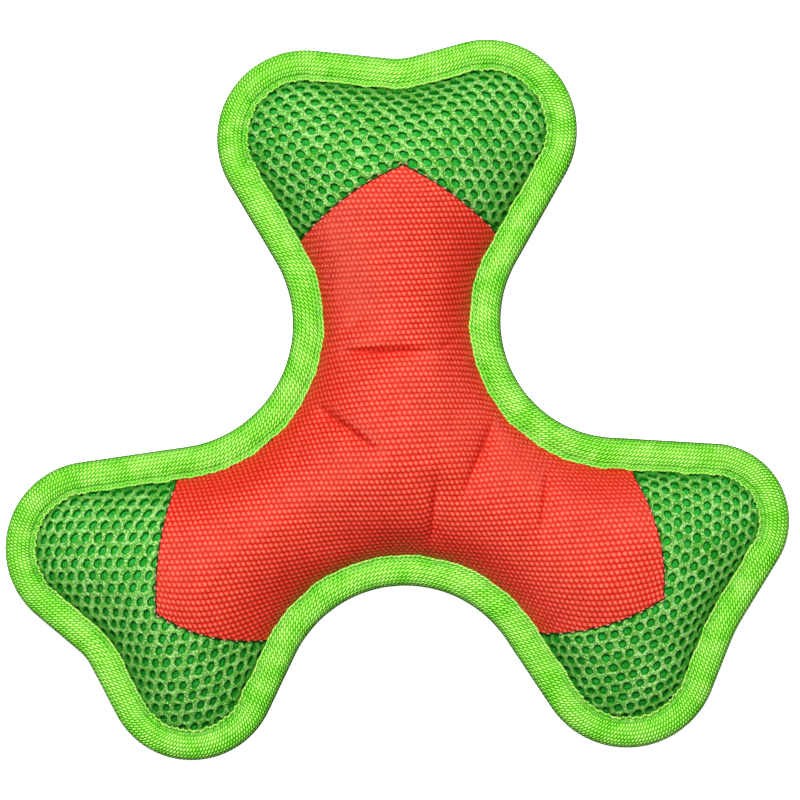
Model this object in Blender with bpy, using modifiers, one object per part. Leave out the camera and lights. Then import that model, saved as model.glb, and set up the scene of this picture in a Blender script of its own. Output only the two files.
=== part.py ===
"""A padded three-armed throw toy: nylon and air-mesh covers, a folded edge binding, fibre filling
and a squeaker. Metres, +Z up, resting on z = 0 with the hub's centre at the origin."""

import math

import bmesh
import bpy
import numpy as np
from mathutils import Matrix, Vector
from mathutils.geometry import delaunay_2d_cdt

MM = 0.001
GAP = 0.3 * MM                    # between pieces that touch
CUTTER_SIZE = 120 * MM            # larger than anything that the boxes cut

# Plan outline: twelve arcs, each tangent to the next, anticlockwise around the hub.
# (distance of its centre from the hub, heading in degrees, radius, bulges outwards)
OUTLINE_ARCS = (
    (73.1 * MM, 29.9, 34.3 * MM, False),     # crotch between the right and top arms
    (95.5 * MM, 74.8, 26.4 * MM, True),      # top arm, right lobe
    (133.1 * MM, 90.7, 20.1 * MM, False),    # top arm, notch
    (93.8 * MM, 107.3, 25.9 * MM, True),     # top arm, left lobe
    (76.6 * MM, 152.5, 36.3 * MM, False),    # crotch between the top and left arms
    (95.2 * MM, 198.5, 25.4 * MM, True),     # left arm, upper lobe
    (124.6 * MM, 214.5, 13.5 * MM, False),   # left arm, notch
    (91.0 * MM, 227.7, 24.8 * MM, True),     # left arm, lower lobe
    (76.8 * MM, 270.9, 35.7 * MM, False),    # crotch between the left and right arms
    (90.5 * MM, 316.9, 26.6 * MM, True),     # right arm, lower lobe
    (158.2 * MM, 331.8, 46.4 * MM, False),   # right arm, notch
    (93.8 * MM, 346.5, 22.3 * MM, True),     # right arm, upper lobe
)
ARC_STEP = math.radians(22)       # step along a round stretch
STRAIGHT_STEP = 12 * MM           # step along a straight stretch
FINE_ANGLE = math.radians(0.25)   # the steps that those are chosen from
FINE_LENGTH = 0.1 * MM

# Chevron seams between the centre panel and the arm caps: apex, then the two ends at the binding.
SEAMS = {
    "top": ((0.6, 82.5), (-30.1, 60.3), (28.1, 62.9)),
    "left": ((-71.7, -49.2), (-66.7, -11.4), (-38.3, -57.9)),
    "right": ((77.0, -44.8), (69.1, -9.4), (40.4, -55.9)),
}
SEAM_HALF_GAP = 0.5 * MM          # half the slot that the seam's thread fills
SEAM_STEP = 9 * MM                # spacing of the points along a seam
SLOT_MATCH = 0.25 * MM            # how near a station lies to the slot's edge that it stands for
NECK = 42 * MM                    # the hub ends and an arm begins this far from the hub's centre

# Heights
MID_PLANE = 16.2 * MM             # the binding's middle above the floor
FLANGE_HALF = 2.75 * MM           # half the stack of layers inside the binding
FRONT_CROWN = 19.5 * MM           # rise of the front cover above the flange, at the hub
BACK_SHARE = 0.88                 # the back cover's rise as a share of the front's
PUFF_POWER = 0.65                 # 0.5 is a balloon, 1 is a soap film

# Layers, from outside to inside
NYLON = 0.8 * MM
AIR_MESH = 1.4 * MM
LINER = 0.4 * MM
LAYER_GAP = 0.6 * MM              # leaves room for the facets of a curved cloth
LINER_DEPTH = AIR_MESH + LAYER_GAP
FILL_DEPTH = LINER_DEPTH + LINER + 2 * LAYER_GAP

# Edge binding, measured inwards from the toy's outer edge
TAPE = 1.0 * MM                   # thickness of the tape
TAPE_GAP = 0.45 * MM              # from the tape to the covers it holds
TAPE_WIDTH = 9.3 * MM             # its visible width on either face
STITCH_LINE = 7.0 * MM            # where the stitching pinches the layers
PANEL_RIM = TAPE + TAPE_GAP + GAP        # where the covers end inside the fold
FURROW = 0.35 * MM                # how deep the stitches sink in
SHOULDER = 14 * MM              # a ring of points that rounds the covers' shoulder
INNER_SPACING = 14 * MM           # spacing of the points inside that ring

# Thread
THREAD_RADIUS = 0.3 * MM
SEAM_THREAD_RADIUS = 0.2 * MM
SEAM_SET_BACK = 0.15              # share of its last step that a thread stops short of the binding

# Squeaker, a disc-shaped bulb; heights are relative to its middle
SQUEAKER_Z = MID_PLANE + 0.5 * MM
BULB_RADIUS = 20.0 * MM
BULB_WALL = 0.9 * MM
BULB_TOP = 9.3 * MM
BULB_BOTTOM = -8.5 * MM
CROWN_RIM = 4.0 * MM
BASE_RIM = -5.0 * MM
BELLOWS_BULGE = 0.9 * MM
COLLAR_RADIUS = 4.2 * MM          # bore that the reed barrel presses into
COLLAR_TOP = -2.5 * MM
BARREL_RADIUS = COLLAR_RADIUS - GAP
BARREL_BORE = 3.0 * MM
BARREL_TOP = -1.0 * MM
BARREL_FLANGE = 5.6 * MM
HOLDER_RADIUS = BARREL_BORE - GAP
HOLDER_FOOT = 2.2 * MM
REED_SIZE = (0.2 * MM, 2.4 * MM, 4.3 * MM)
REED_BED_X = 0.4 * MM             # the flat that the reed lies against
BED_CUT = 10 * MM                 # tall enough to clear the holder above its foot
AIR_WAY_RADIUS = 0.9 * MM
TURN_STEPS = 20

NYLON_RED = (0.81, 0.070, 0.038)
MESH_GREEN = (0.105, 0.43, 0.066)
TAPE_GREEN = (0.205, 0.63, 0.065)
LINER_WHITE = (0.72, 0.72, 0.70)
FIBRE_WHITE = (0.88, 0.88, 0.86)
BULB_WHITE = (0.80, 0.82, 0.82)
REED_CLEAR = (0.75, 0.78, 0.80)


# ---------------------------------------------------------------- scene and materials

def clear_scene():
    for obj in list(bpy.data.objects):
        bpy.data.objects.remove(obj, do_unlink=True)


def new_collection(name):
    collection = bpy.data.collections.new(name)
    bpy.context.scene.collection.children.link(collection)
    return collection


def material(name, colour, roughness, metallic=0.0):
    made = bpy.data.materials.new(name)
    made.use_nodes = True
    shader = made.node_tree.nodes["Principled BSDF"]
    shader.inputs["Base Color"].default_value = (*colour, 1.0)
    shader.inputs["Roughness"].default_value = roughness
    shader.inputs["Metallic"].default_value = metallic
    return made


def add_object(name, mesh, collection, finish=None):
    obj = bpy.data.objects.new(name, mesh)
    if finish:
        mesh.materials.append(finish)
    collection.objects.link(obj)
    return obj


def shade_round(obj, sharp_degrees=40):
    obj.data.shade_smooth()
    obj.data.set_sharp_from_angle(angle=math.radians(sharp_degrees))


def add_modifier(obj, kind, **settings):
    modifier = obj.modifiers.new(kind.title(), kind)
    for key, value in settings.items():
        setattr(modifier, key, value)
    return modifier


def cut(obj, cutter, operation="DIFFERENCE"):
    add_modifier(obj, "BOOLEAN", operation=operation, object=cutter, solver="EXACT")


# ---------------------------------------------------------------- plan outline

def polar(distance, angle):
    return distance * np.array([math.cos(angle), math.sin(angle)])


def tangent_points(arc_a, arc_b):
    """Where the straight line between two neighbouring arcs leaves one and meets the other."""
    (centre_a, radius_a, side_a), (centre_b, radius_b, side_b) = arc_a, arc_b
    across = centre_b - centre_a
    length = np.hypot(*across)
    turn = math.acos((side_b * radius_b - side_a * radius_a) / length)
    for angle in (math.atan2(across[1], across[0]) + turn, math.atan2(across[1], across[0]) - turn):
        normal = np.array([math.cos(angle), math.sin(angle)])
        if across[0] * normal[1] - across[1] * normal[0] > 0:
            return centre_a - side_a * radius_a * normal, centre_b - side_b * radius_b * normal
    raise ValueError("arcs overlap")


def outline_stations():
    """The edge in fine steps: (point, inward unit normal, cost of the step up to it) for each."""
    arcs = [(polar(distance, math.radians(heading)), radius, 1 if outwards else -1)
            for distance, heading, radius, outwards in OUTLINE_ARCS]
    joints = [tangent_points(arc, after) for arc, after in zip(arcs, arcs[1:] + arcs[:1])]
    stations = []
    for i, (centre, radius, side) in enumerate(arcs):
        start, end = joints[i - 1][1] - centre, joints[i][0] - centre
        first = math.atan2(start[1], start[0])
        sweep = (math.atan2(end[1], end[0]) - first) % math.tau
        if side < 0:
            sweep -= math.tau
        steps = math.ceil(abs(sweep) / FINE_ANGLE)
        for k in range(1, steps + 1):
            towards = polar(1, first + sweep * k / steps)
            stations.append((centre + radius * towards, -side * towards, abs(sweep) / steps / ARC_STEP))
        line = joints[i][1] - joints[i][0]
        length = np.hypot(*line)
        inward = np.array([-line[1], line[0]]) / length
        pieces = math.ceil(length / FINE_LENGTH)
        for k in range(1, pieces + 1):
            stations.append((joints[i][0] + line * k / pieces, inward, length / pieces / STRAIGHT_STEP))
    return stations


def choose_stations():
    """Stations where the chevron slots meet the binding, and evenly spread ones between them."""
    fine = outline_stations()
    edge = [point + inward * TAPE_WIDTH for point, inward, _ in fine]
    fixed = []
    for arm in SEAMS:
        past = [beyond_seam(arm, point) for point in edge]
        for k in range(len(fine)):
            for level in (-SEAM_HALF_GAP, SEAM_HALF_GAP):
                if (past[k - 1] < level) != (past[k] < level) and max(past[k - 1], past[k]) > -NECK / 2:
                    fixed.append(k)
    fixed.sort()
    cost = np.cumsum([step for _, _, step in fine])
    chosen = []
    for start, end in zip(fixed, fixed[1:] + [fixed[0] + len(fine)]):
        span = (cost[end % len(fine)] - cost[start]) % cost[-1]
        parts = max(1, round(span))
        for k in range(parts):
            wanted = (cost[start] + span * k / parts) % cost[-1]
            chosen.append(start if k == 0 else int(np.argmin(abs(cost - wanted))))
    return [fine[k][:2] for k in chosen]


def ring(stations, inset):
    return [point + inward * inset for point, inward in stations]


# ---------------------------------------------------------------- seams and regions

def seam_normals(arm):
    """Outward unit normals of a chevron's two legs."""
    apex, *ends = (np.array(point) * MM for point in SEAMS[arm])
    normals = []
    for end in ends:
        leg = end - apex
        normal = np.array([-leg[1], leg[0]]) / np.hypot(*leg)
        normals.append(normal if normal @ apex > 0 else -normal)
    return apex, ends, normals


def beyond_seam(arm, point):
    """Signed distance past the chevron, towards the arm's end."""
    apex, _, normals = seam_normals(arm)
    if point @ apex / np.hypot(*apex) < NECK:
        return -NECK
    return max(normal @ (point - apex) for normal in normals)


def seam_line(arm, offset, ends):
    """The chevron moved outwards by offset, from one end through the apex to the other."""
    apex, planned_ends, normals = seam_normals(arm)
    corner = np.linalg.solve(np.array(normals), np.array([offset, offset])) + apex
    line = []
    for end, planned_end in zip(ends, planned_ends):
        count = math.ceil(np.hypot(*(planned_end - apex)) / SEAM_STEP)
        stretch = [corner + (end - corner) * k / count for k in range(count + 1)]
        line += stretch[1:] if line else stretch[::-1]
    return line


def region(point):
    for arm in SEAMS:
        past = beyond_seam(arm, point)
        if past > SEAM_HALF_GAP:
            return arm
        if past > -SEAM_HALF_GAP:
            return "slot"
    return "centre"


def inside(point, polygon):
    crossings = 0
    for (x0, y0), (x1, y1) in zip(polygon, polygon[1:] + polygon[:1]):
        spans = (y0 > point[1]) != (y1 > point[1])
        if spans and point[0] < x0 + (point[1] - y0) * (x1 - x0) / (y1 - y0):
            crossings += 1
    return crossings % 2 == 1


def clear_of(point, others, distance):
    return min(np.hypot(*(point - other)) for other in others) > distance


# ---------------------------------------------------------------- one triangulation for all layers

class Sheet:
    """Plan triangulation of the toy, with the rise of a stretched, filled cover at each point."""

    def __init__(self):
        self.stations = choose_stations()
        rim, stitch, tape = (ring(self.stations, inset) for inset in (PANEL_RIM, STITCH_LINE, TAPE_WIDTH))
        count = len(tape)
        self.rings = {PANEL_RIM: range(count), STITCH_LINE: range(count, 2 * count),
                      TAPE_WIDTH: range(2 * count, 3 * count)}
        faces, regions = [], []
        for k in range(count):
            after = (k + 1) % count
            place = region((tape[k] + tape[after]) / 2)
            for row in (0, count):
                faces += [(row + k, row + after, row + count + after),
                          (row + k, row + count + after, row + count + k)]
                regions += [place, place]
        inner, inner_faces = self.fill_inside(tape)
        faces += [tuple(index + 2 * count for index in face) for face in inner_faces]
        self.plan = np.array(rim + stitch + list(inner))
        self.faces = np.array(faces)
        self.regions = regions + [region(self.plan[list(face)].mean(axis=0))
                                  for face in faces[len(regions):]]
        self.puffed = np.arange(len(self.plan)) >= 2 * count
        self.rise = self.membrane()

    def fill_inside(self, tape):
        """Triangles inside the binding, with both edges of each chevron's slot among their edges."""
        count = len(tape)
        points = list(tape)
        edges = [(k, (k + 1) % count) for k in range(count)]
        seam_points = []
        self.slots = {arm: [] for arm in SEAMS}
        for arm in SEAMS:
            for offset in (-SEAM_HALF_GAP, SEAM_HALF_GAP):
                ends = [k for k in range(count) if abs(beyond_seam(arm, tape[k]) - offset) < SLOT_MATCH]
                first_end = seam_normals(arm)[1][0]
                ends.sort(key=lambda k: np.hypot(*(tape[k] - first_end)))
                line = seam_line(arm, offset, [tape[k] for k in ends])
                order = [ends[0], *range(len(points), len(points) + len(line) - 2), ends[1]]
                points += line[1:-1]
                seam_points += line
                edges += list(zip(order, order[1:]))
                self.slots[arm].append([index + 2 * count for index in order])
        shoulder = [point for point in ring(self.stations, SHOULDER) if clear_of(point, seam_points, 4 * MM)]
        points += shoulder
        points += self.inner_points(ring(self.stations, SHOULDER), seam_points)
        solved = delaunay_2d_cdt([Vector(point / MM) for point in points], edges,
                                 [list(range(count))], 1, 1e-5)
        plan = np.array([tuple(vertex) for vertex in solved[0]]) * MM
        if len(plan) != len(points):
            raise ValueError("the seams or the points inside the binding cross")
        return plan, solved[2]

    @staticmethod
    def inner_points(shoulder, seam_points):
        low, high = np.min(shoulder, axis=0), np.max(shoulder, axis=0)
        row_height = INNER_SPACING * math.sqrt(3) / 2
        kept = []
        for row, y in enumerate(np.arange(low[1], high[1], row_height)):
            for x in np.arange(low[0] + (row % 2) * INNER_SPACING / 2, high[0], INNER_SPACING):
                point = np.array([x, y])
                if (inside(point, shoulder) and clear_of(point, shoulder, 0.6 * INNER_SPACING)
                        and clear_of(point, seam_points, 0.5 * INNER_SPACING)):
                    kept.append(point)
        return kept

    def membrane(self):
        """Rise of a soap film under pressure, by finite elements, raised to a power; 1 at its highest."""
        count = len(self.plan)
        stiffness, load = np.zeros((count, count)), np.zeros(count)
        for face in self.faces:
            corners = self.plan[face]
            sides = np.roll(corners, -1, axis=0) - np.roll(corners, 1, axis=0)
            area = abs(sides[0][0] * sides[1][1] - sides[0][1] * sides[1][0]) / 2
            stiffness[np.ix_(face, face)] += sides @ sides.T / (4 * area)
            load[face] += area / 3
        film = np.zeros(count)
        free = np.flatnonzero(self.puffed)
        film[free] = np.linalg.solve(stiffness[np.ix_(free, free)], load[free])
        return (film / film.max()) ** PUFF_POWER

    def heights(self, front):
        if front:
            return MID_PLANE + FLANGE_HALF + FRONT_CROWN * self.rise
        return np.maximum(0, MID_PLANE - FLANGE_HALF - BACK_SHARE * FRONT_CROWN * self.rise)

    def surface(self, front, depth):
        """The cover's outer surface moved into the toy by depth: each point keeps that distance
        from the planes of the triangles around it, as nearly as one point can."""
        points = np.column_stack([self.plan, self.heights(front)])
        faces = self.faces if front else self.faces[:, ::-1]
        corners = points[faces]
        normals = np.cross(corners[:, 1] - corners[:, 0], corners[:, 2] - corners[:, 0])
        normals /= np.linalg.norm(normals, axis=1)[:, None]
        moved = points.copy()
        for vertex in range(len(points)):
            around = normals[(faces == vertex).any(axis=1)]
            moved[vertex] -= np.linalg.pinv(around, rcond=0.2) @ np.full(len(around), depth)
        return moved


# ---------------------------------------------------------------- covers and liners

def shell(name, points, faces, thickness, collection, finish):
    """A cloth layer: its outer surface, made solid inwards."""
    used = sorted({int(vertex) for face in faces for vertex in face})
    index = {vertex: k for k, vertex in enumerate(used)}
    mesh = bpy.data.meshes.new(name)
    mesh.from_pydata([points[vertex] for vertex in used], [],
                     [[index[int(vertex)] for vertex in face] for face in faces])
    obj = add_object(name, mesh, collection, finish)
    shade_round(obj, 60)
    add_modifier(obj, "SOLIDIFY", thickness=thickness, offset=-1, use_even_offset=True)
    return obj


def build_covers(sheet, collection, finishes):
    for side, front in (("front", True), ("back", False)):
        outer = sheet.surface(front, 0)
        inner = sheet.surface(front, LINER_DEPTH)
        faces = sheet.faces if front else sheet.faces[:, ::-1]
        chosen = {place: [face for face, found in zip(faces, sheet.regions) if found == place]
                  for place in ("centre", *SEAMS)}
        shell(f"{side}_centre_panel", outer, chosen["centre"], NYLON, collection, finishes["nylon"])
        for arm in SEAMS:
            shell(f"{side}_cap_{arm}", outer, chosen[arm], AIR_MESH, collection, finishes["mesh"])
        shell(f"{side}_liner", inner, faces, LINER, collection, finishes["liner"])


# ---------------------------------------------------------------- edge binding

def ring_on(sheet, inset, front, depth):
    surface = sheet.surface(front, depth)
    return [surface[vertex] for vertex in sheet.rings[inset]]


def build_binding(sheet, collection, finish):
    """A tape folded over the edge. Its lips follow the covers, so the section changes along the
    edge, and the closed loft between the sections is made face by face."""
    def level(inset, height):
        return [(*point, MID_PLANE + height) for point in ring(sheet.stations, inset)]
    outside = FLANGE_HALF + TAPE_GAP + TAPE
    rings = [
        ring_on(sheet, TAPE_WIDTH, True, -TAPE_GAP - TAPE),
        ring_on(sheet, STITCH_LINE, True, -TAPE_GAP - TAPE + FURROW),
        level(4.2 * MM, outside + 0.2 * MM),
        level(0.7 * MM, outside - 0.9 * MM),
        level(0, 0),
        level(0.7 * MM, -outside + 0.9 * MM),
        level(4.2 * MM, -outside - 0.2 * MM),
        ring_on(sheet, STITCH_LINE, False, -TAPE_GAP - TAPE + FURROW),
        ring_on(sheet, TAPE_WIDTH, False, -TAPE_GAP - TAPE),
        ring_on(sheet, TAPE_WIDTH, False, -TAPE_GAP),
        ring_on(sheet, STITCH_LINE, False, -TAPE_GAP),
        level(PANEL_RIM - GAP, -FLANGE_HALF - TAPE_GAP),
        level(PANEL_RIM - GAP, FLANGE_HALF + TAPE_GAP),
        ring_on(sheet, STITCH_LINE, True, -TAPE_GAP),
        ring_on(sheet, TAPE_WIDTH, True, -TAPE_GAP),
    ]
    bm = bmesh.new()
    loops = [[bm.verts.new(point) for point in ring] for ring in rings]
    for loop, after in zip(loops, loops[1:] + loops[:1]):
        for k in range(len(loop)):
            n = (k + 1) % len(loop)
            bm.faces.new((loop[k], after[k], after[n], loop[n]))
    bmesh.ops.triangulate(bm, faces=bm.faces)
    bmesh.ops.recalc_face_normals(bm, faces=bm.faces)
    mesh = bpy.data.meshes.new("edge_binding")
    bm.to_mesh(mesh)
    bm.free()
    shade_round(add_object("edge_binding", mesh, collection, finish), 50)


# ---------------------------------------------------------------- threads

def thread(name, points, radius, closed, collection, finish):
    curve = bpy.data.curves.new(name, "CURVE")
    curve.dimensions = "3D"
    curve.bevel_depth = radius
    curve.bevel_resolution = 0
    curve.use_fill_caps = not closed
    spline = curve.splines.new("POLY")
    spline.points.add(len(points) - 1)
    for target, point in zip(spline.points, points):
        target.co = (*point, 1)
    spline.use_cyclic_u = closed
    curve.materials.append(finish)
    obj = bpy.data.objects.new(name, curve)
    collection.objects.link(obj)


def build_threads(sheet, collection, finishes):
    for side, front in (("front", True), ("back", False)):
        above_furrow = -(TAPE_GAP + TAPE - FURROW + THREAD_RADIUS + 1.5 * GAP)
        thread(f"binding_stitch_{side}", ring_on(sheet, STITCH_LINE, front, above_furrow),
               THREAD_RADIUS, True, collection, finishes["tape"])
        middle = sheet.surface(front, NYLON / 2)
        for arm in SEAMS:
            near, far = sheet.slots[arm]
            run = [(middle[a] + middle[b]) / 2 for a, b in zip(near, far)]
            run[0] += (run[1] - run[0]) * SEAM_SET_BACK
            run[-1] += (run[-2] - run[-1]) * SEAM_SET_BACK
            thread(f"{side}_seam_thread_{arm}", run, SEAM_THREAD_RADIUS, False, collection,
                   finishes["nylon"])


# ---------------------------------------------------------------- filling

def build_fill(sheet, collection, cutters, finish):
    """One filled body inside the liners, cut into the wads that are stuffed one after another."""
    faces = [face for face in sheet.faces if min(face) >= sheet.rings[TAPE_WIDTH][0]]
    top, bottom = sheet.surface(True, FILL_DEPTH), sheet.surface(False, FILL_DEPTH)
    used = sorted({int(vertex) for face in faces for vertex in face})
    index = {vertex: k for k, vertex in enumerate(used)}
    bm = bmesh.new()
    upper = [bm.verts.new(top[vertex]) for vertex in used]
    lower = [bm.verts.new(bottom[vertex]) for vertex in used]
    for face in faces:
        bm.faces.new([upper[index[int(vertex)]] for vertex in face])
        bm.faces.new([lower[index[int(vertex)]] for vertex in reversed(face)])
    for edge in [edge for edge in bm.edges if edge.is_boundary and edge.verts[0] in set(upper)]:
        (a, b) = edge.verts
        bm.faces.new((a, b, lower[upper.index(b)], lower[upper.index(a)]))
    bmesh.ops.triangulate(bm, faces=[face for face in bm.faces if len(face.verts) > 3])
    bmesh.ops.recalc_face_normals(bm, faces=bm.faces)
    whole = bpy.data.meshes.new("fill")
    bm.to_mesh(whole)
    bm.free()

    arm_boxes = {arm: neck_box(arm, GAP, cutters) for arm in SEAMS}
    for arm, box in arm_boxes.items():
        cut(add_object(f"arm_fill_{arm}", whole.copy(), collection, finish), box, "INTERSECT")
    hub_boxes = [neck_box(arm, -GAP, cutters) for arm in SEAMS]
    room = upright(BULB_RADIUS + BELLOWS_BULGE + 2 * GAP, SQUEAKER_Z + BULB_BOTTOM - 5 * GAP,
                   SQUEAKER_Z + BULB_TOP + 2 * GAP)
    pocket = hidden(solid("squeaker_pocket", "cylinder", room, cutters))
    for half, direction in (("front", 1), ("back", -1)):
        hub = add_object(f"hub_fill_{half}", whole.copy(), collection, finish)
        for box in hub_boxes:
            cut(hub, box)
        cut(hub, half_space(f"{half}_half", direction, cutters), "INTERSECT")
        cut(hub, pocket)


def neck_box(arm, shift, cutters):
    """A large box over everything beyond an arm's neck."""
    apex = Vector(SEAMS[arm][0]).normalized()
    centre = apex * (NECK + shift + CUTTER_SIZE / 2)
    place = Matrix.Translation((*centre, MID_PLANE)) @ Matrix.Rotation(math.atan2(apex.y, apex.x), 4, "Z")
    return hidden(solid(f"beyond_{arm}", "cube", place @ Matrix.Scale(CUTTER_SIZE, 4), cutters))


def half_space(name, direction, cutters):
    """Everything above or below the level where the two hub wads meet."""
    centre = (0, 0, SQUEAKER_Z + direction * (CUTTER_SIZE + GAP) / 2)
    return hidden(solid(name, "cube", Matrix.Translation(centre) @ Matrix.Scale(CUTTER_SIZE, 4), cutters))


def upright(radius, low, high, x=0.0):
    """Where a unit cylinder goes to stand between two heights."""
    return Matrix.Translation((x, 0, (low + high) / 2)) @ Matrix.Diagonal((radius, radius, high - low, 1))


def solid(name, shape, place, collection, finish=None):
    """A unit cube, or a cylinder of radius and height 1, moved and sized by a matrix."""
    bm = bmesh.new()
    if shape == "cube":
        bmesh.ops.create_cube(bm, size=1)
    else:
        bmesh.ops.create_cone(bm, cap_ends=True, segments=TURN_STEPS, radius1=1, radius2=1, depth=1)
    bm.transform(place)
    mesh = bpy.data.meshes.new(name)
    bm.to_mesh(mesh)
    bm.free()
    return add_object(name, mesh, collection, finish)


def hidden(cutter):
    cutter.hide_render = True
    cutter.display_type = "WIRE"
    return cutter


# ---------------------------------------------------------------- squeaker

def turned(name, profile, closed, collection, finish):
    """A body of revolution about Z from (radius, height) points, heights from the squeaker's middle."""
    mesh = bpy.data.meshes.new(name)
    edges = [(k, k + 1) for k in range(len(profile) - 1)]
    if closed:
        edges.append((len(profile) - 1, 0))
    mesh.from_pydata([(radius, 0, height) for radius, height in profile], edges, [])
    obj = add_object(name, mesh, collection, finish)
    obj.location.z = SQUEAKER_Z
    add_modifier(obj, "SCREW", steps=TURN_STEPS, render_steps=TURN_STEPS, use_merge_vertices=True,
                 merge_threshold=0.00001, use_smooth_shade=True)
    return obj


def dome(radius, low, high, steps):
    """A squarish dome's profile from the axis down to its rim."""
    return [(radius * math.sin(angle) ** 0.75, low + (high - low) * math.cos(angle) ** 0.75)
            for angle in (math.pi / 2 * k / steps for k in range(steps + 1))]


def build_squeaker(collection, cutters, finishes):
    inner = BULB_RADIUS - BULB_WALL
    floor = BULB_BOTTOM + BULB_WALL
    turned("squeaker_base", [
        (BULB_RADIUS, BASE_RIM), (BULB_RADIUS, BULB_BOTTOM + 2 * MM), (BULB_RADIUS - 2 * MM, BULB_BOTTOM),
        (COLLAR_RADIUS, BULB_BOTTOM), (COLLAR_RADIUS, COLLAR_TOP), (COLLAR_RADIUS + BULB_WALL, COLLAR_TOP),
        (COLLAR_RADIUS + BULB_WALL, floor), (inner - 1.6 * MM, floor), (inner, floor + 1.6 * MM),
        (inner, BASE_RIM)], True, collection, finishes["bulb"])
    waist = (CROWN_RIM + BASE_RIM) / 2
    turned("squeaker_wall", [
        (BULB_RADIUS, CROWN_RIM - GAP), (BULB_RADIUS + BELLOWS_BULGE, waist), (BULB_RADIUS, BASE_RIM + GAP),
        (inner, BASE_RIM + GAP), (inner + BELLOWS_BULGE, waist), (inner, CROWN_RIM - GAP)],
        True, collection, finishes["bulb"])
    outside = dome(BULB_RADIUS, CROWN_RIM, BULB_TOP, 5)
    within = dome(inner, CROWN_RIM, BULB_TOP - BULB_WALL, 5)
    turned("squeaker_crown", outside + within[::-1], False, collection, finishes["bulb"])
    turned("squeaker_reed_barrel", [
        (BARREL_RADIUS, BARREL_TOP), (BARREL_RADIUS, BULB_BOTTOM - GAP), (BARREL_FLANGE, BULB_BOTTOM - GAP),
        (BARREL_FLANGE, BULB_BOTTOM - GAP - 0.6 * MM), (BARREL_BORE, BULB_BOTTOM - GAP - 0.6 * MM),
        (BARREL_BORE, BARREL_TOP)], True, collection, finishes["reed"])

    foot = SQUEAKER_Z + BULB_BOTTOM - GAP - 0.4 * MM
    bed_top = foot + HOLDER_FOOT + REED_SIZE[2] + 0.6 * MM
    holder = solid("squeaker_reed_holder", "cylinder", upright(HOLDER_RADIUS, foot, bed_top), collection,
                   finishes["reed"])
    reed_side = Matrix.Translation((REED_BED_X + BARREL_BORE, 0, foot + HOLDER_FOOT + BED_CUT / 2))
    cut(holder, hidden(solid("reed_side", "cube", reed_side @ Matrix.Diagonal(
        (2 * BARREL_BORE, 3 * BARREL_BORE, BED_CUT, 1)), cutters)))
    air_way = upright(AIR_WAY_RADIUS, foot - 1 * MM, bed_top - 1 * MM, x=0.1 * MM)
    cut(holder, hidden(solid("air_way", "cylinder", air_way, cutters)))
    shade_round(holder)

    lying = Matrix.Translation((0, 0, REED_SIZE[2] / 2)) @ Matrix.Diagonal((*REED_SIZE, 1))
    reed = solid("squeaker_reed", "cube", lying, collection, finishes["reed"])
    reed.location = (REED_BED_X + GAP + REED_SIZE[0] / 2, 0, foot + HOLDER_FOOT + GAP)


def main():
    clear_scene()
    toy = new_collection("three_armed_throw_toy")
    cutters = new_collection("cutters")
    finishes = {
        "nylon": material("red_ballistic_nylon", NYLON_RED, 0.6),
        "mesh": material("green_air_mesh", MESH_GREEN, 0.75),
        "tape": material("lime_binding_tape", TAPE_GREEN, 0.65),
        "liner": material("liner_cloth", LINER_WHITE, 0.9),
        "fibre": material("polyester_fibre", FIBRE_WHITE, 0.95),
        "bulb": material("squeaker_plastic", BULB_WHITE, 0.35),
        "reed": material("reed_plastic", REED_CLEAR, 0.3),
    }
    sheet = Sheet()
    build_covers(sheet, toy, finishes)
    build_binding(sheet, toy, finishes["tape"])
    build_threads(sheet, toy, finishes)
    build_fill(sheet, toy, cutters, finishes["fibre"])
    build_squeaker(toy, cutters, finishes)


main()
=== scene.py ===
"""Looks of the padded three-armed throw toy: woven and knitted covers, sewn binding, filling and
squeaker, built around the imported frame. Lengths are in millimetres until a mesh is made."""

import contextlib
import math

import bmesh
import bpy
import numpy as np
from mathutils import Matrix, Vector
from mathutils.bvhtree import BVHTree

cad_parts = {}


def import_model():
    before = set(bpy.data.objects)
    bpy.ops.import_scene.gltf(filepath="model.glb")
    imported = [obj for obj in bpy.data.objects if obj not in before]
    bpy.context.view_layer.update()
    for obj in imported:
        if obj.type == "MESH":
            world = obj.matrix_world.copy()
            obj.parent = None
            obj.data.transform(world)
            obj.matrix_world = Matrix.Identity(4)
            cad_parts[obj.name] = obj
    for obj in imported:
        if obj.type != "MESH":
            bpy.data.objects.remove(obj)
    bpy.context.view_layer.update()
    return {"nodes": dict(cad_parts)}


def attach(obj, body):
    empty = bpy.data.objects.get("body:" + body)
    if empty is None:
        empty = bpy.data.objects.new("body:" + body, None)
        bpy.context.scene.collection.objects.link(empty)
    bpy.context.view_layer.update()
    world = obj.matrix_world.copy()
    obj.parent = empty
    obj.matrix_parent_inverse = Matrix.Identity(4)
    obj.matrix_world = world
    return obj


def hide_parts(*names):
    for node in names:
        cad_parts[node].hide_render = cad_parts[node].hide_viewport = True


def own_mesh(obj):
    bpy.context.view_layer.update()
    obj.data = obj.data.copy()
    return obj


MM = 0.001
RNG = np.random.default_rng(7)

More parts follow.
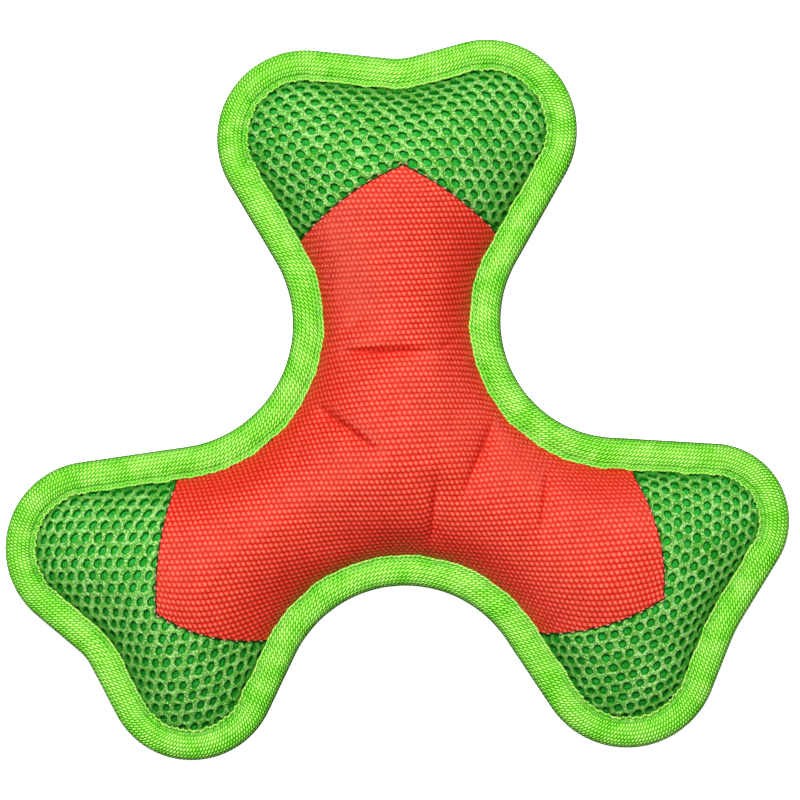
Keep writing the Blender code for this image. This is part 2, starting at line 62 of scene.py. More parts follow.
# The part's own design, repeated here because a fine surface needs its formulas and not its facets.
# (distance of an arc's centre from the hub, heading in degrees, radius, bulges outwards)
OUTLINE_ARCS = (
    (73.1, 29.9, 34.3, False), (95.5, 74.8, 26.4, True), (133.1, 90.7, 20.1, False),
    (93.8, 107.3, 25.9, True), (76.6, 152.5, 36.3, False), (95.2, 198.5, 25.4, True),
    (124.6, 214.5, 13.5, False), (91.0, 227.7, 24.8, True), (76.8, 270.9, 35.7, False),
    (90.5, 316.9, 26.6, True), (158.2, 331.8, 46.4, False), (93.8, 346.5, 22.3, True))
SEAMS = {                       # apex, then the two ends at the binding
    "top": ((0.6, 82.5), (-30.1, 60.3), (28.1, 62.9)),
    "left": ((-71.7, -49.2), (-66.7, -11.4), (-38.3, -57.9)),
    "right": ((77.0, -44.8), (69.1, -9.4), (40.4, -55.9))}
SEAM_SHIFT = -1.4               # the filling pulls the sewn chevrons in from the drawn ones
SEAM_BOW = {"top": (1.7, 1.0), "left": (1.5, 2.5), "right": (2.5, 2.4)}     # how far each leg bows out
NECK = 42.0                     # an arm begins this far from the hub's centre
MID_PLANE = 16.2
FLANGE_HALF = 2.75
FRONT_CROWN = 19.5
BACK_SHARE = 0.88
PUFF_POWER = 0.78               # a little more peaked than the plain part's covers
TAPE_WIDTH = 9.3
STITCH_LINE = 7.8
TAPE_TOP = 4.2                  # top of the tape above the middle plane
LOW, HIGH = np.array([-120.0, -104.0]), np.array([120.0, 116.0])   # the plan that is worked on

# Squeaker, heights from its middle
SQUEAKER_Z = MID_PLANE + 0.5
BULB_RADIUS = 20.0
BULB_WALL = 0.9
BULB_TOP = 9.3
BULB_BOTTOM = -8.5
CROWN_RIM = 4.0
BASE_RIM = -5.0
BELLOWS_BULGE = 0.9
COLLAR_RADIUS = 4.2
COLLAR_TOP = -2.5
BARREL_BORE = 3.0
BARREL_TOP = -1.0
BARREL_FLANGE = 5.6
CLEARANCE = 0.3
DOME_STEPS = 24

# Grids
FILM_STEP = 1.0                 # grid that the blown-up film is solved on
COVER_STEP = 0.5                # grid that a cover's height is kept on
MAP_STEP = 3.0                  # mesh that is unwrapped to lay flat cloth on a cover
MAP_INSET = {"nylon": 7.2, "mesh": 5.0}         # where that mesh begins at the edge
MAP_OVERLAP = {"nylon": 5.0, "mesh": 6.0}       # and how far over the chevrons it runs
CLOTH_STEP = 2.0                # grid, on the flat cloth, of the places where it ends up
EDGE_LIFT = 0.5                 # how far the covers are pushed up against the tape's lip
EDGE_EASE = 8.0                 # how far in the film's height follows the distance from its edge
FILM_ROUNDS = 900               # most rounds that the solving may take
CREASE_EASE = (0.5, 9.0)        # creases and lumps set in over this far in from the tape
LUMP_HEIGHT = 0.6
PUCKER_COUNTS = (61, 83, 97)    # gathers round the whole edge
PUCKER_HEIGHT = (0.055, 0.165)  # in a crotch, and how much more on a lobe
PUCKER_REACH = 6.0
LOWEST = 0.15                   # the back's lowest height, just off the floor

# Cloths
NYLON_STEP = 0.46
NYLON_PITCH = 1.52              # between the bumps of one row
NYLON_ROW = 1.62                # between the rows
NYLON_RELIEF = 0.36
NYLON_LEAN = 0.3                # how far each float leans over its own length
NYLON_TURN = {"front": 3, "back": -2}
NYLON_TRIMMED = 1.2             # cloth past the straight chevrons, that is trimmed off
NYLON_REACH = 140.0             # the flat cloth ends nearer to the hub than this
HEM = ((0.1, 0.1), (0.55, 0.4), (0.5, 0.75), (-0.3, 0.9), (-2.4, 0.95))     # outwards, down
MESH_DEPTH = 1.25
# Each cap's knit: pitch of the holes along a row, spacing of the rows, its turn, a hole's half axes
# and how far the hole leans sideways over its own height
KNIT = {"top": (4.3, 3.0, 6, (1.26, 1.24), -0.36), "left": (3.55, 3.75, 5, (1.1, 1.4), 0.3),
        "right": (4.1, 3.05, 78, (1.3, 1.18), 0.0)}
UNDER_TAPE = {"nylon": 7.6, "mesh": 5.7, "backing": 5.6, "liner": 3.2}      # inset each cloth reaches
UNDER_NYLON = {"mesh": 3.6, "backing": 4.6}     # how far in under the nylon
CELL_SIDE = 3                   # points along each side of a hole's cell
STRAND = 0.5                    # thickness of the knit's strands
SINK = 1.35                     # how far the mesh cloth dips to pass under the nylon's hem
SINK_PAINTED_SHADE = 0.35               # painted shade: how much darker the mesh's colour is painted where it dips
LIP_PAINTED_SHADE = 0.4                 # painted shade right beside the tape
SLOPE_PAINTED_SHADE = 0.5               # and painted shade on its steepest slopes

BACKING_DEPTH = MESH_DEPTH + 0.12
BACKING_STEP = 1.1
CAP_REACH = 62.0                # a cap ends nearer to its chevron's apex than this
LINER_LOW, LINER_HIGH = (-118, -100), (118, 114)
LINER_STEP = 1.6
LINER_DEPTH = 3.05              # deep enough to clear the mesh where it dips at the seams
WAD_ROOM = 3.9                  # from a cover to the fibre, square to the cover
WAD_VOXEL = 1.3
WAD_WAVES = (14, 10, 7, 5, 3.6, 2.8)            # lengths of the bumps in the fibre
SEAM_STITCH = 3.5
SCALLOP = 0.05

# Tape
TAPE_STEP = 0.36
TAPE_RELIEF = 0.26
TAPE_ROW = 1.22                 # width of the rows of floats that run along the tape
TAPE_PITCH = 1.12               # between the floats of a row
TAPE_LEAN = (1.0, 0.45)         # how far along a float leans per millimetre across: crotches, lobes
TAPE_LEAN_EASE = 16.0           # how far either way that lean is averaged
TAPE_STAGGER = 0.3              # pitches from each row to the next
FOLD_PAINTED_SHADE = 1.7                # painted shade: how much darker the tape's colour is painted along its fold
RIM_PAINTED_SHADE = 0.45                # and painted shade from there in over its outer face
TAPE_RIM = 3.4                  # how far in the tape's face rounds off towards its fold
TAPE_INSIDE = (                 # (inset, share of TAPE_TOP) of the rings that close it behind
    (TAPE_WIDTH - 0.2, -0.82), (6.0, -0.5), (1.2, -0.5), (1.2, 0.5), (6.0, 0.5), (TAPE_WIDTH - 0.2, 0.82))
STITCH_RISE = ((0.08, -0.45), (0.2, -0.1), (0.5, 0.0), (0.8, -0.1), (0.92, -0.45))  # (share along, height)
SEAM_DOT = ((0.34, 0.9), (0.42, 0.2), (0.5, 0.0), (0.58, 0.2), (0.66, 0.9))         # (share along, depth)
BINDING_STITCH = 3.3


# ---- plan outline

def polar(distance, degrees):
    return distance * np.array([math.cos(math.radians(degrees)), math.sin(math.radians(degrees))])


def tangent_points(arc_a, arc_b):
    """Where the straight line between two neighbouring arcs leaves one and meets the other."""
    (centre_a, radius_a, side_a), (centre_b, radius_b, side_b) = arc_a, arc_b
    across = centre_b - centre_a
    heading = math.atan2(across[1], across[0])
    turn = math.acos((side_b * radius_b - side_a * radius_a) / np.hypot(*across))
    for angle in (heading + turn, heading - turn):
        normal = np.array([math.cos(angle), math.sin(angle)])
        if across[0] * normal[1] - across[1] * normal[0] > 0:
            return centre_a - side_a * radius_a * normal, centre_b - side_b * radius_b * normal
    raise ValueError("arcs overlap")


class Arc:
    def __init__(self, centre, radius, side, start, end):
        self.centre, self.radius, self.side = centre, radius, side
        self.first = math.atan2(*(start - centre)[::-1])
        last = math.atan2(*(end - centre)[::-1])
        self.length = radius * (side * (last - self.first) % math.tau)

    def measure(self, points):
        """(inset, distance along) of each point."""
        away = points - self.centre
        inset = self.side * (self.radius - np.hypot(*away.T))
        turn = self.side * (np.arctan2(away[:, 1], away[:, 0]) - self.first) % math.tau
        return inset, turn * self.radius

    def at(self, along):
        angle = self.first + self.side * along / self.radius
        outward = np.column_stack([np.cos(angle), np.sin(angle)])
        return self.centre + self.radius * outward, -self.side * outward


class Straight:
    def __init__(self, start, end):
        self.start, self.length = start, np.hypot(*(end - start))
        self.way = (end - start) / self.length
        self.inward = np.array([-self.way[1], self.way[0]])

    def measure(self, points):
        away = points - self.start
        return away @ self.inward, away @ self.way

    def at(self, along):
        return self.start + along[:, None] * self.way, np.tile(self.inward, (len(along), 1))


class Outline:
    """The toy's edge in plan: arcs joined by straight stretches, anticlockwise."""

    def __init__(self):
        arcs = [(polar(distance, heading), radius, 1 if outwards else -1)
                for distance, heading, radius, outwards in OUTLINE_ARCS]
        joints = [tangent_points(arc, after) for arc, after in zip(arcs, arcs[1:] + arcs[:1])]
        self.stretches = []
        for i, arc in enumerate(arcs):
            self.stretches.append(Arc(*arc, joints[i - 1][1], joints[i][0]))
            self.stretches.append(Straight(*joints[i]))
        self.starts = np.cumsum([0] + [stretch.length for stretch in self.stretches])
        self.length = self.starts[-1]

    def nearest(self, points):
        """(inset, distance along the edge) of the edge's nearest point, for each point."""
        points = np.asarray(points)
        best, along = np.full(len(points), 1e6), np.zeros(len(points))
        for stretch, start in zip(self.stretches, self.starts):
            inset, position = stretch.measure(points)
            nearer = (position > -0.01) & (position < stretch.length + 0.01) & (abs(inset) < abs(best))
            best[nearer] = inset[nearer]
            along[nearer] = start + position[nearer]
        return best, along

    def at(self, along):
        """(point, inward normal) at each distance along the edge."""
        points, inward = np.zeros((len(along), 2)), np.zeros((len(along), 2))
        along = along % self.length
        for stretch, start in zip(self.stretches, self.starts):
            here = (along >= start) & (along <= start + stretch.length)
            points[here], inward[here] = stretch.at(along[here] - start)
        return points, inward

    def convex(self, along):
        """1 on a lobe, falling to 0 in a crotch or notch, for each distance along the edge."""
        lobe = np.zeros(len(along))
        for stretch, start in zip(self.stretches, self.starts):
            if isinstance(stretch, Arc) and stretch.side > 0:
                middle, half = start + stretch.length / 2, stretch.length / 2 + 4
                away = abs((along - middle + self.length / 2) % self.length - self.length / 2)
                lobe = np.maximum(lobe, ramp(half - away, 0, 8))
        return lobe


def ramp(value, low, high):
    """0 below low, 1 above high, smooth between."""
    share = np.clip((value - low) / (high - low), 0, 1)
    return share * share * (3 - 2 * share)


def near(distance, reach):
    """1 at a place, falling to 0 over the reach on both sides of it."""
    return np.exp(-(distance / reach) ** 2)


def seam_legs(arm):
    """Apex of an arm's chevron and the outward unit normals of its two legs."""
    apex, *ends = (np.array(point) for point in SEAMS[arm])
    normals = []
    for end in ends:
        normal = np.array([-(end - apex)[1], (end - apex)[0]]) / np.hypot(*(end - apex))
        normals.append(normal if normal @ apex > 0 else -normal)
    return apex, normals


def beyond_seam(arm, points, bowed=True):
    """Signed distance past an arm's chevron, towards the arm's end, for each point."""
    apex, normals = seam_legs(arm)
    past = [(points - apex) @ normal - (bow if bowed else 0)
            for normal, bow in zip(normals, seam_bows(arm, points))]
    return np.where(points @ apex / np.hypot(*apex) < NECK, -NECK, np.max(past, axis=0))


def seam_bows(arm, points):
    """How far each leg of a chevron bows outwards beside each point."""
    apex, *ends = (np.array(point) for point in SEAMS[arm])
    bows = []
    for end, bow in zip(ends, SEAM_BOW[arm]):
        share = np.clip((points - apex) @ (end - apex) / ((end - apex) @ (end - apex)), 0, 1)
        bows.append(SEAM_SHIFT + bow * 4 * share * (1 - share))
    return bows


def bow_seams(plan):
    """The plan of a panel cut along straight chevrons, eased out to the bowed ones, with the
    slight scallops that the stitches pull."""
    moved = plan.copy()
    for arm in SEAMS:
        apex, normals = seam_legs(arm)
        on_arm = ramp(plan @ apex / np.hypot(*apex), NECK - 6, NECK + 6)
        for normal, bow, end in zip(normals, seam_bows(arm, plan), SEAMS[arm][1:]):
            leg = (np.array(end) - apex) / np.hypot(*(np.array(end) - apex))
            away = abs((plan - apex) @ normal)
            scallop = SCALLOP * np.cos(math.tau * ((plan - apex) @ leg) / SEAM_STITCH)
            scallop *= np.exp(-away / 0.7)
            shift = on_arm * (bow * near(away, 11) + scallop)
            moved += shift[:, None] * normal
    return moved


# ---- the puffed covers

class Field:
    """Values on a square grid in plan, read between its points by cubics."""

    def __init__(self, origin, step, values):
        self.origin, self.step, self.values = np.asarray(origin), step, values

    def __call__(self, points):
        rows, columns = self.values.shape[:2]
        place = (np.asarray(points) - self.origin) / self.step
        cell = np.clip(np.floor(place).astype(int), 1, (columns - 3, rows - 3))
        share = np.clip(place - cell, 0, 1)
        total = 0
        for j, across_rows in enumerate(self.cubic(share[:, 1])):
            for i, across_columns in enumerate(self.cubic(share[:, 0])):
                weight = across_rows * across_columns
                found = self.values[cell[:, 1] + j - 1, cell[:, 0] + i - 1]
                total = total + (weight[:, None] * found if found.ndim > 1 else weight * found)
        return total

    @staticmethod
    def cubic(t):
        return (-t / 2 + t ** 2 - t ** 3 / 2, 1 - 2.5 * t ** 2 + 1.5 * t ** 3,
                t / 2 + 2 * t ** 2 - 1.5 * t ** 3, (t ** 3 - t ** 2) / 2)


def plan_grid(low, high, step):
    """(x and y of each grid point, shape (rows, columns, 2))."""
    xs, ys = np.arange(low[0], high[0], step), np.arange(low[1], high[1], step)
    return np.stack(np.meshgrid(xs, ys), axis=-1)


def neighbours(field):
    total = np.zeros_like(field)
    total[1:] += field[:-1]
    total[:-1] += field[1:]
    total[:, 1:] += field[:, :-1]
    total[:, :-1] += field[:, 1:]
    return total


def soap_film(outline):
    """A film stretched inside the binding and blown up, divided by how far in each point is.
    Conjugate gradients on a grid; the quotient is smooth, so it reads well right up to the edge."""
    grid = plan_grid(LOW, HIGH, FILM_STEP)
    inset = outline.nearest(grid.reshape(-1, 2))[0].reshape(grid.shape[:2]) - TAPE_WIDTH
    inside = inset > 0
    film = np.zeros(inset.shape)
    rest = inside.astype(float)
    way = rest.copy()
    size = (rest * rest).sum()
    for _ in range(FILM_ROUNDS):
        pulled = np.where(inside, 4 * way - neighbours(way), 0)
        step = size / (way * pulled).sum()
        film += step * way
        rest -= step * pulled
        size, before = (rest * rest).sum(), size
        if size < 1e-8:
            break
        way = rest + way * size / before
    known = inset > 2
    ratio = np.where(known, film / edge_share(np.maximum(inset, 1)), 0)
    for _ in range(16):
        count = neighbours(known.astype(float))
        fresh = ~known & (count > 0)
        ratio[fresh] = (neighbours(ratio) / np.maximum(count, 1))[fresh]
        known |= fresh
    return Field(LOW, FILM_STEP, ratio)


def edge_share(inset):
    return 1 - np.exp(-inset / EDGE_EASE)


def crease(points, start, end, widths, depth):
    """A pinched line in the cloth with a flank on its left and one on its right; a negative depth
    makes a ridge of it."""
    start, end = np.array(start), np.array(end)
    length = np.hypot(*(end - start))
    way = (end - start) / length
    along = (points - start) @ way
    across = (points - start) @ np.array([-way[1], way[0]])
    fade = math.prod(ramp(part, -0.15 * length, 0.35 * length) for part in (along, length - along))
    return -depth * fade * np.exp(-np.where(across > 0, across / widths[0], -across / widths[1]))


FRONT_CREASES = (               # start, end, widths of the left and right flanks, depth
    ((-17.5, 27.0), (9.5, 27.4), (1.1, 3.6), 2.9),
    ((-27.5, 14.0), (-6.0, -1.8), (1.2, 4.6), 3.6),
    ((10.4, -8.0), (8.0, -34.0), (3.8, 1.4), 2.4),
    ((28.8, 11.5), (17.6, -14.5), (4.0, 1.8), 2.8),
    ((43.0, -3.0), (39.5, -27.5), (2.6, 1.1), 1.7),
    ((11.0, 27.4), (17.0, 31.5), (1.2, 2.0), 0.6),
    ((-17.0, 31.5), (-9.0, 39.0), (2.0, 1.6), 0.6),
    ((-31.0, -8.0), (-27.0, 8.0), (3.0, 2.0), 0.5),
    ((-53.0, -21.0), (-47.0, -38.0), (2.6, 1.6), 0.5),
    ((50.0, -17.0), (55.0, -36.0), (2.6, 1.6), 0.5),
    ((-25.0, -18.0), (-4.5, -4.2), (7.0, 7.0), -0.8),
    ((-6.0, -4.6), (16.0, -7.0), (7.0, 7.0), -0.8),
    ((17.0, -13.0), (39.0, -27.5), (7.0, 7.0), -0.8),
    ((-60.0, -46.0), (-44.0, -27.0), (7.0, 7.0), -0.7),
    ((-46.0, -28.0), (-28.0, -21.5), (7.0, 7.0), -0.7))
BACK_CREASES = (
    ((-10.0, 24.0), (16.0, 25.5), (1.4, 3.4), 1.2),
    ((14.0, 8.0), (30.0, -6.0), (1.6, 3.2), 1.1),
    ((-6.0, -14.0), (-12.0, -34.0), (1.6, 3.0), 0.9),
    ((-20.0, -6.0), (12.0, -10.0), (7.0, 7.0), -0.7))


def lumps(points, seed, height):
    """Slow unevenness of hand-stuffed fibre."""
    waves = np.random.default_rng(seed)
    total = 0
    for _ in range(9):
        turn, phase = waves.uniform(0, math.tau, 2)
        length = waves.uniform(22, 60)
        total = total + np.sin(points @ polar(math.tau / length, math.degrees(turn)) + phase)
    return height * total / 3


class Cover:
    """One side of the puffed toy as a surface that cloth is laid on."""

    def __init__(self, outline, film, front):
        grid = plan_grid(LOW, HIGH, COVER_STEP)
        points = grid.reshape(-1, 2)
        inset, along = outline.nearest(points)
        deep = np.maximum(inset - TAPE_WIDTH, 0)
        share = np.maximum(film(points), 0) * edge_share(deep)
        rise = (share / share.max()) ** PUFF_POWER
        inland = ramp(deep, *CREASE_EASE)
        wrinkle = lumps(points, 3 if front else 4, LUMP_HEIGHT) * inland
        for start, end, widths, depth in FRONT_CREASES if front else BACK_CREASES:
            wrinkle += crease(points, start, end, widths, depth) * inland
        wrinkle += EDGE_LIFT * near(inset - TAPE_WIDTH, 1.1)
        wrinkle += self.puckers(outline, deep, along, 11 if front else 12)
        if front:
            height = MID_PLANE + FLANGE_HALF + FRONT_CROWN * rise + wrinkle
        else:
            height = MID_PLANE - FLANGE_HALF - BACK_SHARE * FRONT_CROWN * rise - wrinkle
            height = np.where(height > 1, height, np.exp(np.minimum(height, 1) - 1)) + 0.05
            height = np.maximum(height, LOWEST)
        self.front = front
        self.height = Field(LOW, COVER_STEP, height.reshape(grid.shape[:2]))

    @staticmethod
    def puckers(outline, deep, along, seed):
        """Gathers that run in from the binding, deepest on the lobes where the cloth is eased in."""
        waves = np.random.default_rng(seed)
        total = 0
        for count in PUCKER_COUNTS:
            phase = waves.uniform(0, math.tau)
            total = total + np.sin(math.tau * count * along / outline.length + phase)
        height = PUCKER_HEIGHT[0] + PUCKER_HEIGHT[1] * outline.convex(along)
        return total * height * np.exp(-deep / PUCKER_REACH) * ramp(deep, 0, 1.5)

    def normals(self, plan):
        reach = 0.3
        slopes = [(self.height(plan + reach * way) - self.height(plan - reach * way)) / (2 * reach)
                  for way in np.eye(2)]
        normal = np.column_stack([-slopes[0], -slopes[1], np.ones(len(plan))])
        normal /= np.linalg.norm(normal, axis=1)[:, None]
        return normal if self.front else -normal

    def steepness(self, plan):
        """0 where the cover lies flat, towards 1 where it stands up."""
        return 1 - abs(self.normals(plan)[:, 2])

    def place(self, plan, depth):
        """The points in space that lie depth under the cover at each place in plan."""
        surface = np.column_stack([plan, self.height(plan)])
        return surface - self.normals(plan) * np.broadcast_to(depth, len(plan))[:, None]


def cross(first, second):
    return first[:, 0] * second[:, 1] - first[:, 1] * second[:, 0]


class FlatCloth:
    """Where each point of a flat cut cloth lies in plan, from unwrapping the cover that it fits."""

    def __init__(self, cover, keep):
        grid = plan_grid(LOW, HIGH, MAP_STEP)
        plan, quads = grid.reshape(-1, 2), grid_quads(*grid.shape[:2])
        quads, plan = compact(quads[keep(plan[quads].mean(axis=1))], plan)
        space = cover.place(plan, 0)
        flat = self.unwrap(space, quads)
        self.plan, self.flat = plan, self.true_size(flat, plan, space, quads)
        self.triangles = np.vstack([quads[:, :3], quads[:, [0, 2, 3]]])
        self.tabulate()

    @staticmethod
    def unwrap(space, quads):
        mesh = bpy.data.meshes.new("unwrapping")
        mesh.from_pydata(space.tolist(), [], quads.tolist())
        mesh.uv_layers.new(name="flat")
        obj = new_object("unwrapping", mesh)
        bpy.ops.object.select_all(action="DESELECT")
        bpy.context.view_layer.objects.active = obj
        obj.select_set(True)
        bpy.ops.object.mode_set(mode="EDIT")
        bpy.ops.mesh.select_all(action="SELECT")
        bpy.ops.uv.unwrap(method="MINIMUM_STRETCH", iterations=40, no_flip=True)
        bpy.ops.object.mode_set(mode="OBJECT")
        layer = mesh.uv_layers["flat"]
        loops = np.zeros(len(layer.uv) * 2)
        layer.uv.foreach_get("vector", loops)
        flat = np.zeros((len(space), 2))
        flat[quads.ravel()] = loops.reshape(-1, 2)
        bpy.data.objects.remove(obj)
        bpy.data.meshes.remove(mesh)
        return flat

    @staticmethod
    def true_size(flat, plan, space, quads):
        """The flat cloth turned to match the plan and scaled to the cover's real area."""
        best = None
        target = plan[:, 0] + 1j * plan[:, 1]
        for sign in (1, -1):
            source = flat[:, 0] + sign * 1j * flat[:, 1]
            centred = source - source.mean()
            factor = (np.conj(centred) @ (target - target.mean())) / (abs(centred) ** 2).sum()
            miss = abs(target - target.mean() - factor * centred).sum()
            if best is None or miss < best[0]:
                best = (miss, centred, factor)
        _, centred, factor = best
        sides = [space[quads[:, k]] - space[quads[:, 0]] for k in (1, 2, 3)]
        area = sum(np.linalg.norm(np.cross(a, b), axis=1).sum() / 2 for a, b in zip(sides, sides[1:]))
        corners = centred[quads]
        edges = corners[:, 1:] - corners[:, :1]
        shown = sum(abs((np.conj(edges[:, k]) * edges[:, k + 1]).imag).sum() / 2 for k in (0, 1))
        laid = centred * factor / abs(factor) * math.sqrt(area / shown) + target.mean()
        return np.column_stack([laid.real, laid.imag])

    def tabulate(self):
        """A grid on the flat cloth of each point's plan position, carried on past its edges."""
        margin = 4 * CLOTH_STEP
        low, high = self.flat.min(axis=0) - margin, self.flat.max(axis=0) + margin
        grid = plan_grid(low, high, CLOTH_STEP)
        points = grid.reshape(-1, 2)
        tree = BVHTree.FromPolygons([(*point, 0) for point in self.flat.tolist()], self.triangles.tolist())
        found = [tree.find_nearest((*point, 0)) for point in points.tolist()]
        corners = self.triangles[[hit[2] for hit in found]]
        a, b, c = (self.flat[corners[:, k]] for k in range(3))
        whole = cross(b - a, c - a)
        to_b, to_c = cross(points - a, c - a) / whole, cross(b - a, points - a) / whole
        plan = ((1 - to_b - to_c)[:, None] * self.plan[corners[:, 0]]
                + to_b[:, None] * self.plan[corners[:, 1]] + to_c[:, None] * self.plan[corners[:, 2]])
        away = np.array([hit[3] for hit in found])
        self.low, self.high = low + margin, high - margin
        table = np.column_stack([plan, away]).reshape(*grid.shape[:2], 3)
        self.table = Field(low, CLOTH_STEP, table)

    def plan_of(self, points):
        """(plan position, distance outside the mapped cloth) of each point of the flat cloth."""
        found = self.table(points)
        return found[:, :2], found[:, 2]


# ---- mesh making

def new_object(name, data):
    obj = bpy.data.objects.new(name, data)
    bpy.context.scene.collection.objects.link(obj)
    return obj


@contextlib.contextmanager
def edited(mesh):
    """The mesh as a bmesh, written back at the end of the block."""
    bm = bmesh.new()
    bm.from_mesh(mesh)
    yield bm
    bm.to_mesh(mesh)
    bm.free()


def weld(obj, distance):
    with edited(obj.data) as bm:
        bmesh.ops.remove_doubles(bm, verts=bm.verts, dist=distance)


def mark(mesh, label, values):
    """Gives each point a number that a material reads."""
    attribute = mesh.attributes.new(label, "FLOAT", "POINT")
    attribute.data.foreach_set("value", np.asarray(values, np.float32))


def mesh_object(name, points, faces, finish, flat=None, marks=()):
    """A smooth mesh from points in millimetres, with the cloth's own coordinates as its UV map."""
    mesh = bpy.data.meshes.new(name)
    mesh.from_pydata((np.asarray(points) * MM).tolist(), [], np.asarray(faces).tolist())
    mesh.materials.append(finish)
    if flat is not None:
        corners = np.zeros(len(mesh.loops), int)
        mesh.loops.foreach_get("vertex_index", corners)
        layer = mesh.uv_layers.new(name="cloth")
        layer.uv.foreach_set("vector", np.asarray(flat)[corners].ravel())
    for label, values in marks:
        mark(mesh, label, values)
    mesh.shade_smooth()
    return new_object(name, mesh)


def grid_quads(rows, columns):
    corner = (np.arange(rows - 1)[:, None] * columns + np.arange(columns - 1)).ravel()
    return np.column_stack([corner, corner + 1, corner + columns + 1, corner + columns])


def compact(faces, *arrays):
    """Faces and per-point arrays without the points that no face uses."""
    used, packed = np.unique(faces, return_inverse=True)
    return (packed.reshape(faces.shape), *(array[used] for array in arrays))


def cut(shape, wanted, front, *arrays):
    """The faces of a grid whose corners are all wanted, facing out, and their points' arrays."""
    faces = grid_quads(*shape)
    faces = faces[wanted[faces].all(axis=1)]
    return compact(faces if front else faces[:, ::-1], *arrays)


# ---- nylon panels

def turned_grid(cloth, step, degrees):
    """A grid over a flat cloth, turned about the hub: (weave coordinates, cloth coordinates)."""
    reach = np.abs([cloth.low, cloth.high]).max() * 1.15
    weave = plan_grid((-reach, -reach), (reach, reach), step)
    x_axis, y_axis = polar(1, degrees), polar(1, degrees + 90)
    points = weave.reshape(-1, 2)
    return weave.shape[:2], points, points[:, :1] * x_axis + points[:, 1:] * y_axis


def nylon_lift(weave):
    """Height of the coarse yarns' floats: rounded, staggered from row to row, leaning a little."""
    row = np.round(weave[:, 1] / NYLON_ROW)
    up = weave[:, 1] / NYLON_ROW - row
    place = (weave[:, 0] + NYLON_LEAN * NYLON_ROW * up) / NYLON_PITCH + row / 2
    beside = place - np.round(place)
    return NYLON_RELIEF * np.sqrt(np.clip(1 - (beside / 0.43) ** 2 - (up / 0.46) ** 2, 0, 1))


def build_nylon(side, cover, cloth, outline, finish):
    shape, weave, flat = turned_grid(cloth, NYLON_STEP, NYLON_TURN[side])
    plan, away = cloth.plan_of(flat)
    inset, _ = outline.nearest(plan)
    past = np.max([beyond_seam(arm, plan, bowed=False) for arm in SEAMS], axis=0)
    wanted = (inset > UNDER_TAPE["nylon"]) & (away < 1) & (past < NYLON_TRIMMED)
    wanted &= np.abs(flat).max(axis=1) < NYLON_REACH
    faces, weave, plan = cut(shape, wanted, cover.front, weave, plan)
    obj = mesh_object(f"{side}_nylon_panel", np.column_stack([plan, np.zeros(len(plan))]), faces,
                      finish, weave)
    with edited(obj.data) as bm:
        hem(bm, trim(bm))
    drape(obj.data, cover)
    return obj


def trim(bm):
    """Cuts the flat panel along the chevrons: the ways out of it at each point of the cuts."""
    folds = {}
    for arm in SEAMS:
        apex, normals = seam_legs(arm)
        arm_way = Vector((*apex, 0)).normalized()
        for normal in normals:
            on_arm = [face for face in bm.faces if face.calc_center_median().dot(arm_way) > NECK * MM]
            # A dict, unlike a set, gives its parts in the same order on each run.
            parts = dict.fromkeys(part for face in on_arm for part in (face, *face.edges, *face.verts))
            made = bmesh.ops.bisect_plane(bm, geom=list(parts), dist=1e-7, plane_co=(*(apex * MM), 0),
                                          plane_no=(*normal, 0), clear_outer=True)
            for part in made["geom_cut"]:
                if isinstance(part, bmesh.types.BMVert):
                    folds.setdefault(part, []).append(Vector((*normal, 0)))
    return {vert: ways for vert, ways in folds.items() if vert.is_valid}


def hem(bm, folds):
    """Folds the cut edge down and back under. Here a point is its place in plan and how deep under
    the cover it lies."""
    layer = bm.loops.layers.uv["cloth"]
    edges = [edge for edge in bm.edges if edge.is_boundary and edge.verts[0] in folds
             and edge.verts[1] in folds]
    spans = []
    weave, roots = {}, {}
    for edge in edges:
        loop = edge.link_loops[0]
        spans.append((loop.vert, loop.link_loop_next.vert))
        for corner in (loop, loop.link_loop_next):
            weave[corner.vert] = corner[layer].uv.copy()
            roots[corner.vert] = corner.vert.co.copy(), sum(folds[corner.vert], Vector())
    above = {vert: vert for vert in roots}
    for out, fall in HEM:
        below = {vert: bm.verts.new(root + (way * out + Vector((0, 0, fall))) * MM)
                 for vert, (root, way) in roots.items()}
        for first, second in spans:
            face = bm.faces.new((above[second], above[first], below[first], below[second]))
            face.smooth = True
            for corner, vert in zip(face.loops, (second, first, first, second)):
                corner[layer].uv = weave[vert]
        above = below


def drape(mesh, cover):
    """Lays a flat panel, with its depths, on the cover, and raises its weave."""
    points = np.zeros(len(mesh.vertices) * 3)
    mesh.vertices.foreach_get("co", points)
    points = points.reshape(-1, 3) / MM
    corners, weave = np.zeros(len(mesh.loops), int), np.zeros(len(mesh.loops) * 2)
    mesh.loops.foreach_get("vertex_index", corners)
    mesh.uv_layers["cloth"].uv.foreach_get("vector", weave)
    at_point = np.zeros((len(points), 2))
    at_point[corners] = weave.reshape(-1, 2)
    plan, depth = bow_seams(points[:, :2]), points[:, 2]
    lift = nylon_lift(at_point) * (depth < 0.2)
    space = cover.place(plan, depth - lift) * MM
    mesh.vertices.foreach_set("co", space.ravel())
    # The hem's depth and the cover's steepness are marked for the material, which paints shade in the hem's
    # fold and on steep slopes.
    mark(mesh, "hem", depth)
    mark(mesh, "steep", cover.steepness(plan))
    with edited(mesh) as bm:
        bmesh.ops.recalc_face_normals(bm, faces=bm.faces)


# ---- air-mesh caps

